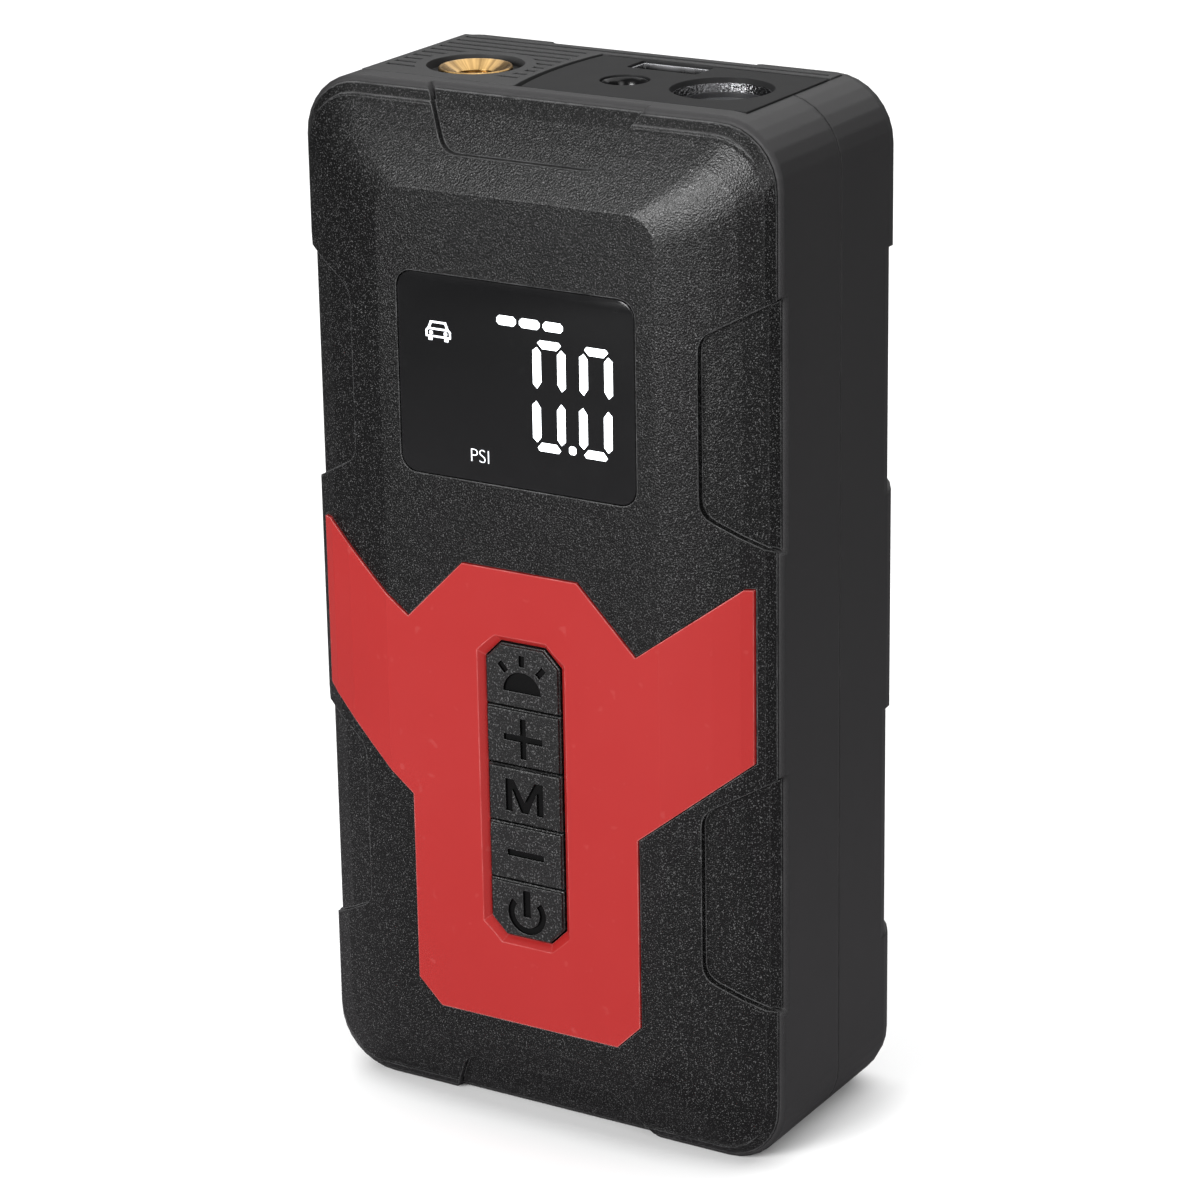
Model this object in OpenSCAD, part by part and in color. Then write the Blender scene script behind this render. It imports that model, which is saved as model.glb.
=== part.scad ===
// Jump starter pack with a built-in tyre compressor, a display, five keys, a torch and sockets.
// X runs across the width, Y from the face to the back, Z up.
// The origin is on the base plane, under the middle of the pack.

/* [Body] */
// Width of the pack
pack_w = 90; // [88:1:104]
// Height of the pack
pack_h = 180; // [178:1:200]
// Depth of the pack, from the face of the inlay to the back
pack_d = 50; // [50:0.5:60]
// Radius of the corners of the outline
corner_r = 11; // [10:0.5:14]
// Wall thickness of the mouldings
wall = 2.4; // [2.2:0.1:2.8]
// Depth of the rim where the cover meets the casing, behind the face
rim_depth = 8; // [7.5:0.1:8.5]
// Depth of the parting line of the two casings, behind the face
parting_depth = 27.9; // [27:0.1:29]
// Radius of the edge round the back
back_r = 5; // [4:0.5:6]
// Open line between neighbouring mouldings
seam = 0.3; // [0.2:0.05:0.4]
// Clearance of pieces that are set into one another
fit = 0.15; // [0.1:0.05:0.2]

/* [Front crown] */
// How far the crown of the cover falls in from each side
crown_side = 18.7; // [16:0.1:20]
// How far the crown of the cover falls in from the top and the base
crown_end = 15.5; // [14:0.1:17]
// Corner radius of the flat middle
plateau_r = 5; // [4:0.5:7]
// Step of the cover's edge inside the rim
rim_step = 0.7; // [0.5:0.1:1]
// Width of the bevel on the casing's rim
rim_bevel = 0.9; // [0.6:0.1:1.2]

/* [Grip recesses] */
// Depth of the recesses round the face and the back
recess_depth = 1.4; // [0.8:0.1:1.5]
// Length of a side recess at the edge
side_recess_len = 42.4; // [36:0.1:46]
// Height of the middle of the lower side recess
lower_recess_z = 50; // [46:0.5:54]
// Distance of the middle of the upper side recess from the top
upper_recess_drop = 49.2; // [46:0.1:54]
// Reach of a side recess onto the face
side_recess_reach = 12; // [8:0.5:14]
// Taper of each end of a side recess over its reach
side_recess_taper = 6.5; // [4:0.5:8]
// Length of the recess in the top and in the base
end_recess_len = 41; // [36:0.5:46]
// Reach of an end recess onto the face
end_recess_reach = 10; // [8:0.5:12]
// Taper of each end of an end recess over its reach
end_recess_taper = 6; // [4:0.5:8]
// How far a recess's inner corners are rounded back along their edges
recess_round = 2.5; // [1:0.5:3]

/* [Inlay] */
// Height of the inlay's lower edge
inlay_bottom = 20; // [18:0.1:22]
// Space between the window and the inlay's upper edge
inlay_drop = 14.6; // [13:0.1:16]
// Width of the inlay's stem
stem_w = 44.2; // [40:0.1:46]
// Space between a wing and the side of the pack
wing_side = 3.5; // [3:0.1:5]
// Rise of a wing's outer upper corner above the inlay's upper edge
wing_rise = 2.3; // [1:0.1:3.5]
// Height of a wing's outer edge
wing_h = 30; // [27:0.1:32]
// Fall of a wing's lower edge towards the stem
wing_fall = 15.5; // [12:0.1:17]
// Depth of the notch between a wing and the middle
notch_drop = 11.1; // [9:0.1:12]
// Width of the inlay's upper edge
inlay_top_w = 22.2; // [20:0.1:26]
// Chamfer of the stem's lower corners
stem_chamfer = 4.5; // [3:0.1:6]
// How far the inlay stands proud of the cover
inlay_proud = 0.4; // [0.2:0.05:0.5]
// Depth of the inlay's pocket
pocket_depth = 1.2; // [1:0.1:1.3]

/* [Keys] */
// Width of the key slot
slot_w = 14.9; // [14:0.1:16]
// Space between the slot and the inlay's lower edge
slot_low_space = 15.7; // [14:0.1:17]
// Space between the slot and the inlay's upper edge
slot_high_space = 12.7; // [12:0.1:14]
// Chamfer of the slot's corners
slot_chamfer = 3.1; // [2:0.1:3.5]
// Extra height of the highest key
high_key_extra = 1.05; // [0:0.05:1.5]
// Clearance round each key
key_gap = 0.3; // [0.25:0.05:0.4]
// Depth of the keys' faces below the inlay's face
key_sunk = 0.3; // [0:0.05:0.6]
// Thickness of a key
key_t = 3.2; // [2.8:0.1:3.4]
// Travel of a key
key_travel = 0.5; // [0.3:0.05:0.6]
// Width of the flange that keeps a key in
flange_w = 17.4; // [16.8:0.1:18.5]
// Radius of a key's stem
stem_r = 1.6; // [1.2:0.1:2]

/* [Display] */
// Width of the window
window_w = 45; // [42:0.1:47]
// Height of the window
window_h = 34.2; // [32:0.1:35]
// Distance of the window's middle from the top
window_drop = 46.6; // [46:0.1:48]
// Thickness of the window
window_t = 1.2; // [0.8:0.1:1.3]
// Corner radius of the window
window_r = 3; // [2:0.5:4]
// Width of the ledge that carries the window
window_ledge = 2; // [1.5:0.1:3]

/* [Air outlet] */
// Sideways place of the outlet
outlet_x = -21.4; // [-23:0.1:-20]
// Place of the outlet along the depth
outlet_y = -0.7; // [-2:0.1:1]
// Radius of the brass face
outlet_r = 6.2; // [5.8:0.1:6.5]
// Core radius of the hose thread
outlet_bore_r = 3.4; // [3:0.1:3.8]
// Depth of the hose thread
outlet_bore_len = 9; // [7:0.5:10]
// Width of the groove round the brass face
outlet_groove_w = 2; // [1.5:0.1:2.2]
// Depth of the groove round the brass face
outlet_groove_depth = 1.6; // [1:0.1:1.8]
// Wall of the collar round the groove
collar_wall = 1.3; // [1:0.1:1.5]
// Depth of the brass face below the top
outlet_sunk = 0.3; // [0.2:0.1:0.8]

/* [Vents] */
// Width of a vent slot
vent_slot = 1.2; // [0.9:0.1:1.4]
// Spacing of the vent slots
vent_pitch = 2.7; // [2.4:0.1:3.2]
// Solid border beside the vent slots
vent_border = 1.2; // [1:0.1:1.4]
// Width of the groove along the port panel's left and back edges
panel_groove_w = 1; // [0.6:0.1:1.3]
// Depth of the groove along the port panel's edges
panel_groove_depth = 0.9; // [0.5:0.1:1.2]

/* [Sockets] */
// Distance of the USB socket's middle from the torch's
usb_side = 15.65; // [15:0.05:16.2]
// Place of the USB socket along the depth
usb_y = 11.4; // [11:0.1:11.6]
// Width inside the USB shell
usb_in_w = 12.5; // [12.3:0.1:12.7]
// Height inside the USB shell
usb_in_h = 5.1; // [4.9:0.1:5.2]
// Wall of the USB shell
usb_wall = 0.35; // [0.3:0.05:0.4]
// Distance of the charging socket's middle from the torch's
dc_side = 17.3; // [16.6:0.1:18]
// Place of the charging socket along the depth
dc_y = -0.4; // [-1:0.1:0.5]
// Outer radius of the charging socket
dc_r = 4; // [3.8:0.1:4.3]
// Bore radius of the charging socket
dc_bore_r = 2.9; // [2.75:0.05:3.1]
// Radius of the charging socket's pin
dc_pin_r = 1.05; // [0.8:0.05:1.25]

/* [Torch] */
// Distance of the torch's middle from the right end of the top inserts
torch_side = 12; // [11.6:0.1:12.2]
// Place of the torch along the depth
torch_y = 1; // [0:0.1:2]
// Radius of the torch recess at the top
torch_r = 8.5; // [8.3:0.1:9]
// Radius of the torch lens
torch_lens_r = 7.2; // [6.9:0.1:7.4]
// Thickness of the torch lens
torch_lens_t = 1.2; // [1:0.1:1.6]

/* [Jump socket] */
// Length of the plug pocket
pocket_len = 27; // [25:0.5:28]
// Width of the plug pocket
pocket_w = 15; // [14:0.5:16]
// Depth of the plug pocket below its flap
pocket_deep = 6.5; // [5.5:0.5:8]
// Spacing of the two contacts
contact_pitch = 12; // [11:0.5:13]
// Bore radius of a contact
contact_bore_r = 2.55; // [2.3:0.05:2.8]
// Thickness of the flap
flap_t = 2; // [1.6:0.1:2.4]
// Lap of the flap over the pocket's edge
flap_lap = 3; // [2:0.5:3.5]

/* [Battery] */
// Thickness of a cell
cell_t = 9.2; // [8:0.1:9.6]
// Space between the battery tray and the casing's bosses
tray_side = 1.4; // [1:0.1:2]
// Space between the cells' tabs and the motor
tab_space = 4.95; // [4:0.05:6]

/* [Compressor] */
// Distance of the cylinder head's top from the top of the pack
head_drop = 36.3; // [34:0.1:38]
// Place of the motor's axis along the depth
motor_y = 6.5; // [6:0.1:7]
// Radius of the motor
motor_r = 13.85; // [13:0.05:14]
// Length of the motor
motor_len = 33; // [30:0.1:34]
// Module of the gear teeth
gear_module = 0.6; // [0.55:0.01:0.6]
// Teeth on the pinion
pinion_teeth = 12; // [10:2:12]
// Teeth on the drive gear
gear_teeth = 48; // [44:4:48]
// Width of the drive gear's rim
gear_t = 4; // [3:0.1:4.2]
// Throw of the crank
crank_throw = 4; // [3:0.1:4.2]
// Length of the connecting rod between its eyes
rod_len = 21.5; // [21.2:0.1:22]
// Bore radius of the cylinder
cylinder_r = 8.05; // [7.9:0.05:8.2]
// Wall of the cylinder
cylinder_wall = 1.5; // [1.2:0.1:1.6]

/* [Hidden] */

eps = 0.01;
hull_fn = 32;
$fn = 48;

// Planes across the depth
front_y = -pack_d / 2;
back_y = pack_d / 2;
plateau_y = front_y + inlay_proud;
rim_y = front_y + rim_depth;
parting_y = front_y + parting_depth;
inner_back_y = back_y - wall;
crown_h = rim_y - plateau_y;
inner_face_y = plateau_y + wall;

// Heights of the inlay and of the key slot
window_low_z = pack_h - window_drop - window_h / 2;
inlay_top = window_low_z - inlay_drop;
wing_span = pack_w - 2 * wing_side;
wing_high = inlay_top + wing_rise;
wing_low = wing_high - wing_h;
stem_top = wing_low - wing_fall;
notch_z = inlay_top - notch_drop;
slot_bottom = inlay_bottom + slot_low_space;
slot_top = inlay_top - slot_high_space;
key_pitch = (slot_top - slot_bottom - high_key_extra) / 5;

// Heights of what is stacked inside, from the top down and from the base up
centre_distance = gear_module * (gear_teeth + pinion_teeth) / 2;
small_end_r = 2.4;
piston_roof = 0.6;
piston_crown_t = 1.6;
cylinder_spare = 1;
head_t = 3.6;
compressor_h = centre_distance + crank_throw + rod_len + small_end_r + piston_roof + piston_crown_t
    + cylinder_spare + head_t;
motor_z = pack_h - head_drop - compressor_h;
tray_wall = 1.2;
tray_rise = 2.4;
cell_gap = 0.2;
tab_h = 4;
tray_low_z = wall + tray_rise;
cell_low_z = tray_low_z + tray_wall + cell_gap;
cell_h = motor_z - motor_r - tab_space - tab_h - cell_low_z;

// Jump socket, on the left side above the battery
jump_space = 3.2;
jump_y = parting_y;
flap_len = pocket_len + 2 * flap_lap;
flap_w = pocket_w + 2 * flap_lap;
flap_gap = 0.3;
shell_wall = 1.8;
shell_len = flap_len + 2 * (shell_wall + flap_gap);
shell_w = flap_w + 2 * (shell_wall + flap_gap);
shell_r = 4;
jump_z = cell_low_z + cell_h + jump_space + shell_len / 2;
jump_face_x = -pack_w / 2;
pocket_floor_x = jump_face_x + flap_t + pocket_deep;
contact_len = 14;
contact_wall = 0.7;
contact_tail = 4;
jump_back_x = pocket_floor_x + contact_len;

// Stations of the crown, from the flat middle to the rim, and the curve of each flank
crown_steps = [0, 0.05, 0.15, 0.3, 0.5, 0.75, 1];
side_curve = 1.85;
end_curve = 1.15;

// Screws that hold the cover, the casing and the back together
screw_r = 1.5;
screw_head_r = 2.7;
screw_head_t = 1.8;
screw_seat = 6;
cover_boss_r = 3.2;
casing_boss_r = 3.5;
boss_side = 1.3;
boss_end = 12;
boss_rise = 3.9;
boss_x = pack_w / 2 - wall - casing_boss_r - boss_side;
boss_low_z = boss_end;
boss_mid_z = jump_z + shell_len / 2 + casing_boss_r + boss_rise;
boss_top_z = pack_h - boss_end;
boss_spots = [for (s = [-1, 1], z = [boss_low_z, boss_mid_z, boss_top_z]) [s * boss_x, z]];
boss_gap = 0.2;

// Boards
board_t = 1.6;
board_depth = 8.4;
board_y = front_y + board_depth;
board_side = 0.6;
board_w = 2 * (boss_x - cover_boss_r - board_side);
board_low_z = 15;
board_drop = 26;
board_top_z = pack_h - board_drop;
board_boss_r = 2.6;
board_boss_root = 0.6;
board_screw_r = 1;
board_screw_bite = 4;
board_screw_head_r = 2.2;
board_screw_side = 4;
board_screw_rise = 7;
board_screw_drop = 10.3;
board_screw_spots = [
    for (s = [-1, 1], z = [board_low_z + board_screw_rise, window_low_z - board_screw_drop])
        [s * (board_w / 2 - board_screw_side), z]];
switch_rest_gap = 0.3;
transistor_w = 7;
transistor_t = 3.4;
transistor_h = 9;
transistor_x = -16;
transistor_pitch = 9;
transistor_rise = 63;
inductor_x = 14;
inductor_w = 12;
inductor_h = 5.5;
inductor_drop = 20;
capacitor_x = -20;
capacitor_r = 4;
capacitor_h = 9;
capacitor_drop = 18;
switch_w = 6;
switch_button_r = 1.7;
switch_button_h = 0.6;

// Keys
key_face_y = front_y + key_sunk;
key_back_y = key_face_y + key_t;
flange_t = 0.9;
flange_y = inner_face_y + 0.3;
key_edges = [for (i = [0:5]) i < 5 ? slot_bottom + i * key_pitch : slot_top];
switch_top_y = flange_y + flange_t + 2.2;

// Top inserts
top_plate_t = 2.2;
ledge_w = 1.5;
insert_side = 8.6;
insert_front_gap = 4.6;
insert_back_gap = 0.4;
insert_half_w = pack_w / 2 - insert_side;
insert_front_y = rim_y + insert_front_gap;
insert_back_y = back_y - back_r - insert_back_gap;
torch_x = insert_half_w - torch_side;
usb_x = torch_x - usb_side;
dc_x = torch_x - dc_side;
divider_side = 32.5;
divider_x = torch_x - divider_side;
divider_arc_r = 70;
divider_y = usb_y + usb_in_h / 2 + usb_wall + 1.5;
plate_z = pack_h - top_plate_t;
collar_r = outlet_r + outlet_groove_w + collar_wall;
port_board_drop = 16.6;
port_board_z = pack_h - port_board_drop;
port_board_margin = 7;
port_board_edge = 0.5;
usb_shell_z = port_board_z + board_t;
dc_depth = 10;
outlet_neck_r = 4.6;
outlet_neck_drop = 13;
outlet_neck_z = pack_h - outlet_neck_drop;
barb_r = 2.4;
barb_bore_r = 1;
barb_len = 4;
outlet_barb_z = outlet_neck_z - barb_len;
hose_wall = 1.2;

// Torch
torch_sunk = 3;
torch_depth = 17;
torch_floor = 1.5;
torch_lens_top = pack_h - torch_sunk;
torch_housing_r = torch_r - 0.3;
torch_base_z = pack_h - torch_depth;
reflector_wall = 0.6;
led_r = 2.3;

// Battery
cell_count = 3;
back_gap = 0.1;
tray_back_y = inner_back_y - back_gap;
cell_w = 2 * (boss_x - casing_boss_r - tray_side - tray_wall - cell_gap);
cell_back_y = tray_back_y - tray_wall;
tray_front_y = cell_back_y - cell_count * (cell_t + cell_gap) - cell_gap;
tab_side = 16.5;
tab_x = cell_w / 2 - tab_side;
tab_w = 10;
tab_t = 0.4;
tab_seat = 0.02;

// Compressor
frame_t = 2.6;
frame_x = -5.6;
motor_x = frame_x + frame_t;
motor_boss_r = 5;
shaft_r = 1.15;
gear_shaft_r = 1.5;
pin_r = 1.5;
run_gap = 0.05;
big_end_r = 3.3;
piston_skirt = 7;
gear_z = motor_z + centre_distance;
gear_x = frame_x - 2.4 - gear_t;
gear_hub_r = 4;
bearing_r = 3.4;
rod_t = 3.4;
rod_x = gear_x - 1.4 - rod_t;
cylinder_x = rod_x + rod_t / 2;
crank_z = gear_z + crank_throw;
small_end_z = crank_z + rod_len;
piston_skin = 0.85;
piston_gap = 0.05;
piston_top_z = small_end_z + small_end_r + piston_roof + piston_crown_t;
piston_low_z = small_end_z - piston_skirt;
gear_tip_gap = 1;
cylinder_low_z = gear_z + gear_module * (gear_teeth / 2 + 1) + gear_tip_gap;
cylinder_top_z = piston_top_z + cylinder_spare;
cylinder_out_r = cylinder_r + cylinder_wall;
head_top_z = cylinder_top_z + head_t;
clamp_wall = 1.6;
clamp_h = 6;
clamp_rise = 0.5;
cylinder_lug_r = 2.4;
head_screw_r = 1;
head_spots = [for (a = [150, 330]) [
    cylinder_x + (cylinder_out_r + 1) * cos(a), motor_y + (cylinder_out_r + 1) * sin(a)]];

function mix(a, b, t) = a + (b - a) * t;
function side_inset(t) = rim_step + (crown_side - rim_step) * pow(1 - t, side_curve);
function end_inset(t) = rim_step + (crown_end - rim_step) * pow(1 - t, end_curve);

// Points of a rounded rectangle round the origin
function arc(x, y, r, start, n = 5) = [for (i = [0:n])
    [x + r * cos(start + 90 * i / n), y + r * sin(start + 90 * i / n)]];
function rounded(w, h, r) = concat(
    arc(w / 2 - r, h / 2 - r, r, 0), arc(r - w / 2, h / 2 - r, r, 90),
    arc(r - w / 2, r - h / 2, r, 180), arc(w / 2 - r, r - h / 2, r, 270));

// Right half of a mirrored outline, then its left half
function mirrored(half) = concat(half, [for (i = [len(half) - 1:-1:0]) [-half[i][0], half[i][1]]]);

// Outline of the inlay, grown by g
function inlay_outline(g = 0) = mirrored([
    [stem_w / 2 - stem_chamfer + g * 0.4, inlay_bottom - g],
    [stem_w / 2 + g, inlay_bottom + stem_chamfer - g * 0.4],
    [stem_w / 2 + g, stem_top - g * 0.5],
    [wing_span / 2 + g, wing_low - g * 0.5],
    [wing_span / 2 + g, wing_high + g],
    [wing_span / 2 - 1.5, wing_high + g],
    [stem_w / 2, notch_z + g],
    [inlay_top_w / 2 + g * 0.4, inlay_top + g]]);

// Outline of the key slot, or of what fills it, grown by g
function slot_outline(g = 0) = mirrored([
    [slot_w / 2 - slot_chamfer + g * 0.4, slot_bottom - g],
    [slot_w / 2 + g, slot_bottom + slot_chamfer - g * 0.4],
    [slot_w / 2 + g, slot_top - slot_chamfer + g * 0.4],
    [slot_w / 2 - slot_chamfer + g * 0.4, slot_top + g]]);

// Straight-flanked teeth: a tip and a root land for each, thinned by the backlash
function gear_outline(teeth, backlash = 0.12) = [for (i = [0:teeth - 1], k = [0:3])
    let (pitch_r = gear_module * teeth / 2)
    let (r = pitch_r + gear_module * (k == 1 || k == 2 ? 1 : -1.25))
    let (half = gear_module * (k == 1 || k == 2 ? 0.42 : 1.15) - backlash / 2)
    let (a = 360 * i / teeth + (k < 2 ? -1 : 1) * half / r * 180 / PI)
    [r * cos(a), r * sin(a)]];

// A solid with its outline in the XZ plane, between two depths
module standing(y0, y1) {
    translate([0, y1, 0]) rotate([90, 0, 0]) linear_extrude(y1 - y0) children();
}

// A round bar along the depth at [x, z]
module bar_y(spot, r, y0, y1) {
    translate([spot[0], y1, spot[1]]) rotate([90, 0, 0]) cylinder(r = r, h = y1 - y0);
}

// A round bar across the width at [y, z]
module bar_x(y, z, r, x0, x1) {
    translate([x0, y, z]) rotate([0, 90, 0]) cylinder(r = r, h = x1 - x0);
}

// Everything between two depths
module span(y0, y1) {
    translate([-pack_w, y0, -pack_h / 2]) cube([2 * pack_w, y1 - y0, 2 * pack_h]);
}

// Thin slice of the body at a depth, inset from the sides and from the ends
module slice(y, inset_x, inset_z, r) {
    for (s = [-1, 1], z = [inset_z + r, pack_h - inset_z - r])
        translate([s * (pack_w / 2 - inset_x - r), y, z])
            rotate([90, 0, 0]) cylinder(r = r, h = eps, center = true, $fn = hull_fn);
}

// The whole body as one closed form, shrunk by d
module body(d = 0) {
    hull() {
        for (t = crown_steps)
            slice(plateau_y + d + t * crown_h, side_inset(t) + d * mix(0.4, 1, t),
                end_inset(t) + d * mix(0.4, 1, t), mix(plateau_r, corner_r - rim_step, t) - d * mix(0.4, 1, t));
        slice(rim_y + rim_bevel + d, d, d, corner_r - d);
        for (a = [0:22.5:90]) {
            inset = d + (back_r - d) * (1 - cos(a));
            slice(back_y - d - (back_r - d) * (1 - sin(a)), inset, inset, corner_r - inset);
        }
    }
}

// Rounds corner p between its neighbours a and b, starting a distance back along each edge
function eased(a, p, b, back, n = 4) =
    let (from = p + back * (a - p) / norm(a - p))
    let (to = p + back * (b - p) / norm(b - p))
    [for (i = [0:n]) let (t = i / n) (1 - t) * (1 - t) * from + 2 * t * (1 - t) * p + t * t * to];

// A recess's two outer corners as they are, and its two inner corners rounded
function recess_points(q) = concat([q[0], q[1]],
    eased(q[1], q[2], q[3], recess_round), eased(q[2], q[3], q[0], recess_round));

// Outline of the body seen from the front, shrunk by d
module outline(d = 0) {
    translate([0, pack_h / 2]) polygon(rounded(pack_w - 2 * d, pack_h - 2 * d, corner_r - d));
}

// The six trapezoids of the grip recesses seen from the front, four at the sides and one at
// each end, made longer by g at both their ends
module recess_outlines(g = 0) {
    side_half = side_recess_len / 2 + g;
    end_half = end_recess_len / 2 + g;
    over = 2;
    grow_side = over * side_recess_taper / side_recess_reach;
    grow_end = over * end_recess_taper / end_recess_reach;
    for (s = [-1, 1], z = [lower_recess_z, pack_h - upper_recess_drop])
        polygon(recess_points([
            [s * (pack_w / 2 + over), z - side_half - grow_side],
            [s * (pack_w / 2 + over), z + side_half + grow_side],
            [s * (pack_w / 2 - side_recess_reach), z + side_half - side_recess_taper],
            [s * (pack_w / 2 - side_recess_reach), z - side_half + side_recess_taper]]));
    for (s = [-1, 1]) {
        edge = pack_h / 2 + s * (pack_h / 2 + over);
        deep = pack_h / 2 + s * (pack_h / 2 - end_recess_reach);
        polygon(recess_points([
            [-end_half - grow_end, edge], [end_half + grow_end, edge],
            [end_half - end_recess_taper, deep], [end_recess_taper - end_half, deep]]));
    }
}

// What the recesses take off the face, and with side = -1 off the back; their floor is the
// body's own skin, set in along the depth
module recess_cut(side = 1) {
    reach = recess_depth + rim_bevel + 0.5;
    difference() {
        if (side > 0) standing(front_y - 1, rim_y + reach) recess_outlines();
        else standing(back_y - back_r - reach, back_y + 1) recess_outlines();
        translate([0, side * recess_depth, 0]) body();
    }
}

// Everything that belongs to the front cover, grown by g: its edge steps back in the recesses
module cover_zone(g) {
    span(front_y - 1, rim_y + g);
    standing(rim_y - 1, rim_y + recess_depth + g) recess_outlines(g);
}

// Opening for the top inserts, and the ledge under them
module top_opening() {
    front = insert_front_y;
    back = insert_back_y;
    translate([-insert_half_w, front, plate_z]) cube([2 * insert_half_w, back - front, 2 * top_plate_t]);
    translate([ledge_w - insert_half_w, front + ledge_w, plate_z - 10])
        cube([2 * (insert_half_w - ledge_w), back - front - 2 * ledge_w, 20]);
}
module top_ledge() {
    intersection() {
        body(seam);
        translate([-insert_half_w - ledge_w, insert_front_y - ledge_w, plate_z - 2])
            cube([2 * (insert_half_w + ledge_w), insert_back_y - insert_front_y + 2 * ledge_w, 10]);
    }
}

// Outline of the jump socket's shell on the side wall, as a bar across the wall
module jump_prism(len, w, r, x0, x1) {
    translate([x0, jump_y, jump_z]) rotate([90, 0, 90]) linear_extrude(x1 - x0)
        polygon(rounded(w, len, r));
}
module jump_cutout() {
    jump_prism(shell_len + 2 * fit, shell_w + 2 * fit, shell_r + fit, jump_face_x - 1, jump_face_x + 6);
}

// --- Casings -------------------------------------------------------------------------------

// Ring inside the outline, from one inset to another
module ring(y0, y1, outer, inner) {
    difference() {
        standing(y0, y1) outline(outer);
        standing(y0 - 1, y1 + 1) outline(inner);
    }
}

module front_cover() {
    lip_in = wall + fit;
    lip_t = 1.2;
    lip_y = rim_y - 1.5;
    color("#1d1d1e") difference() {
        union() {
            difference() {
                union() {
                    difference() {
                        intersection() {
                            body();
                            cover_zone(-seam / 2);
                        }
                        difference() {
                            body(wall);
                            ring(lip_y, rim_y + 4, wall - 0.4, lip_in + lip_t);
                        }
                    }
                    // Lip that seats inside the casing
                    ring(lip_y, rim_y + 3, lip_in, lip_in + lip_t);
                }
                recess_cut();
            }
            for (p = boss_spots)
                bar_y(p, cover_boss_r, rim_y - 1.3, parting_y - boss_gap);
            for (p = board_screw_spots)
                bar_y(p, board_boss_r, inner_face_y - board_boss_root, board_y);
        }
        difference() {
            standing(front_y - 2, rim_y) polygon(inlay_outline(fit));
            body(pocket_depth);
        }
        standing(front_y - 2, inner_face_y + 2) polygon(slot_outline(0.1));
        window_prism(window_w + 2 * fit, window_h + 2 * fit, plateau_y - 1, plateau_y + window_t);
        window_prism(window_w - 2 * window_ledge, window_h - 2 * window_ledge,
            plateau_y - 1, inner_face_y + 2);
        for (p = boss_spots)
            bar_y(p, screw_r + 0.02, rim_y + 2, parting_y + 1);
        for (p = board_screw_spots)
            bar_y(p, board_screw_r + 0.02, board_y - board_screw_bite, board_y + 1);
    }
}

module window_prism(w, h, y0, y1) {
    translate([0, 0, pack_h - window_drop]) standing(y0, y1) polygon(rounded(w, h, window_r));
}

// Ring that carries the side walls of the front half
module front_casing() {
    color("#2b2b2c") difference() {
        union() {
            difference() {
                intersection() {
                    body();
                    span(rim_y, parting_y - seam / 3);
                }
                cover_zone(seam / 2);
                recess_cut();
                standing(rim_y - 1, parting_y + 1) outline(wall);
            }
            // Tongue that reaches into the rear casing, open under the top inserts, and its root
            difference() {
                ring(parting_y - 4, parting_y + 2.4, wall + 0.1, wall + 1);
                translate([-insert_half_w - ledge_w - fit, parting_y - seam / 3, plate_z - 5])
                    cube([2 * (insert_half_w + ledge_w + fit), 4, 10]);
            }
            ring(parting_y - 4, parting_y - seam / 3, wall - 0.2, wall + 1);
            intersection() {
                top_ledge();
                span(rim_y + 1, parting_y - seam / 3);
            }
        }
        top_opening();
        jump_cutout();
    }
}

module rear_casing() {
    color("#2b2b2c") difference() {
        union() {
            difference() {
                intersection() {
                    body();
                    span(parting_y + seam / 3, back_y + 1);
                }
                recess_cut(-1);
                body(wall);
            }
            intersection() {
                top_ledge();
                span(parting_y + seam / 3, back_y);
            }
            for (p = boss_spots)
                bar_y(p, casing_boss_r, parting_y + boss_gap, inner_back_y + 0.5);
            // Ribs that hold the compressor's frame
            for (x = [frame_x - 1.4 - fit, frame_x + frame_t + fit], z = [motor_z - motor_r + 1, gear_z + 6])
                translate([x, inner_back_y - 1.6, z]) cube([1.4, 2, 9]);
        }
        for (p = boss_spots) {
            bar_y(p, screw_r + 0.2, parting_y - 1, back_y);
            bar_y(p, screw_head_r + 0.2, parting_y + screw_seat, back_y + 1);
        }
        top_opening();
        jump_cutout();
    }
}

module inlay_panel() {
    color("#c03538") difference() {
        intersection() {
            body(-inlay_proud);
            standing(front_y - 2, rim_y) polygon(inlay_outline());
        }
        body(pocket_depth - 0.02);
        standing(front_y - 3, rim_y) polygon(slot_outline());
    }
}

// --- Display and boards --------------------------------------------------------------------

module display_window() {
    color("#101012") window_prism(window_w, window_h, plateau_y, plateau_y + window_t - 0.02);
}

module display_module() {
    gap = window_ledge + 0.3;
    color("#202124") translate([0, 0, pack_h - window_drop])
        standing(plateau_y + window_t + 0.1, board_y)
            polygon(rounded(window_w - 2 * gap, window_h - 2 * gap, window_r));
}

module main_board() {
    color("#1f5a38") difference() {
        translate([-board_w / 2, board_y, board_low_z])
            cube([board_w, board_t, board_top_z - board_low_z]);
        for (p = board_screw_spots)
            bar_y(p, board_screw_r + 0.2, board_y - 1, board_y + board_t + 1);
    }
}

// Parts on the back of the main board: switching transistors, an inductor and a capacitor
module board_components() {
    back = board_y + board_t;
    color("#26282b") {
        for (i = [0:3])
            translate([transistor_x + transistor_pitch * i, back, board_low_z + transistor_rise])
                cube([transistor_w, transistor_t, transistor_h]);
        translate([inductor_x, back, board_top_z - inductor_drop]) cube([inductor_w, inductor_h, inductor_w]);
        bar_y([capacitor_x, board_top_z - capacitor_drop], capacitor_r, back, back + capacitor_h);
    }
}

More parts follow.
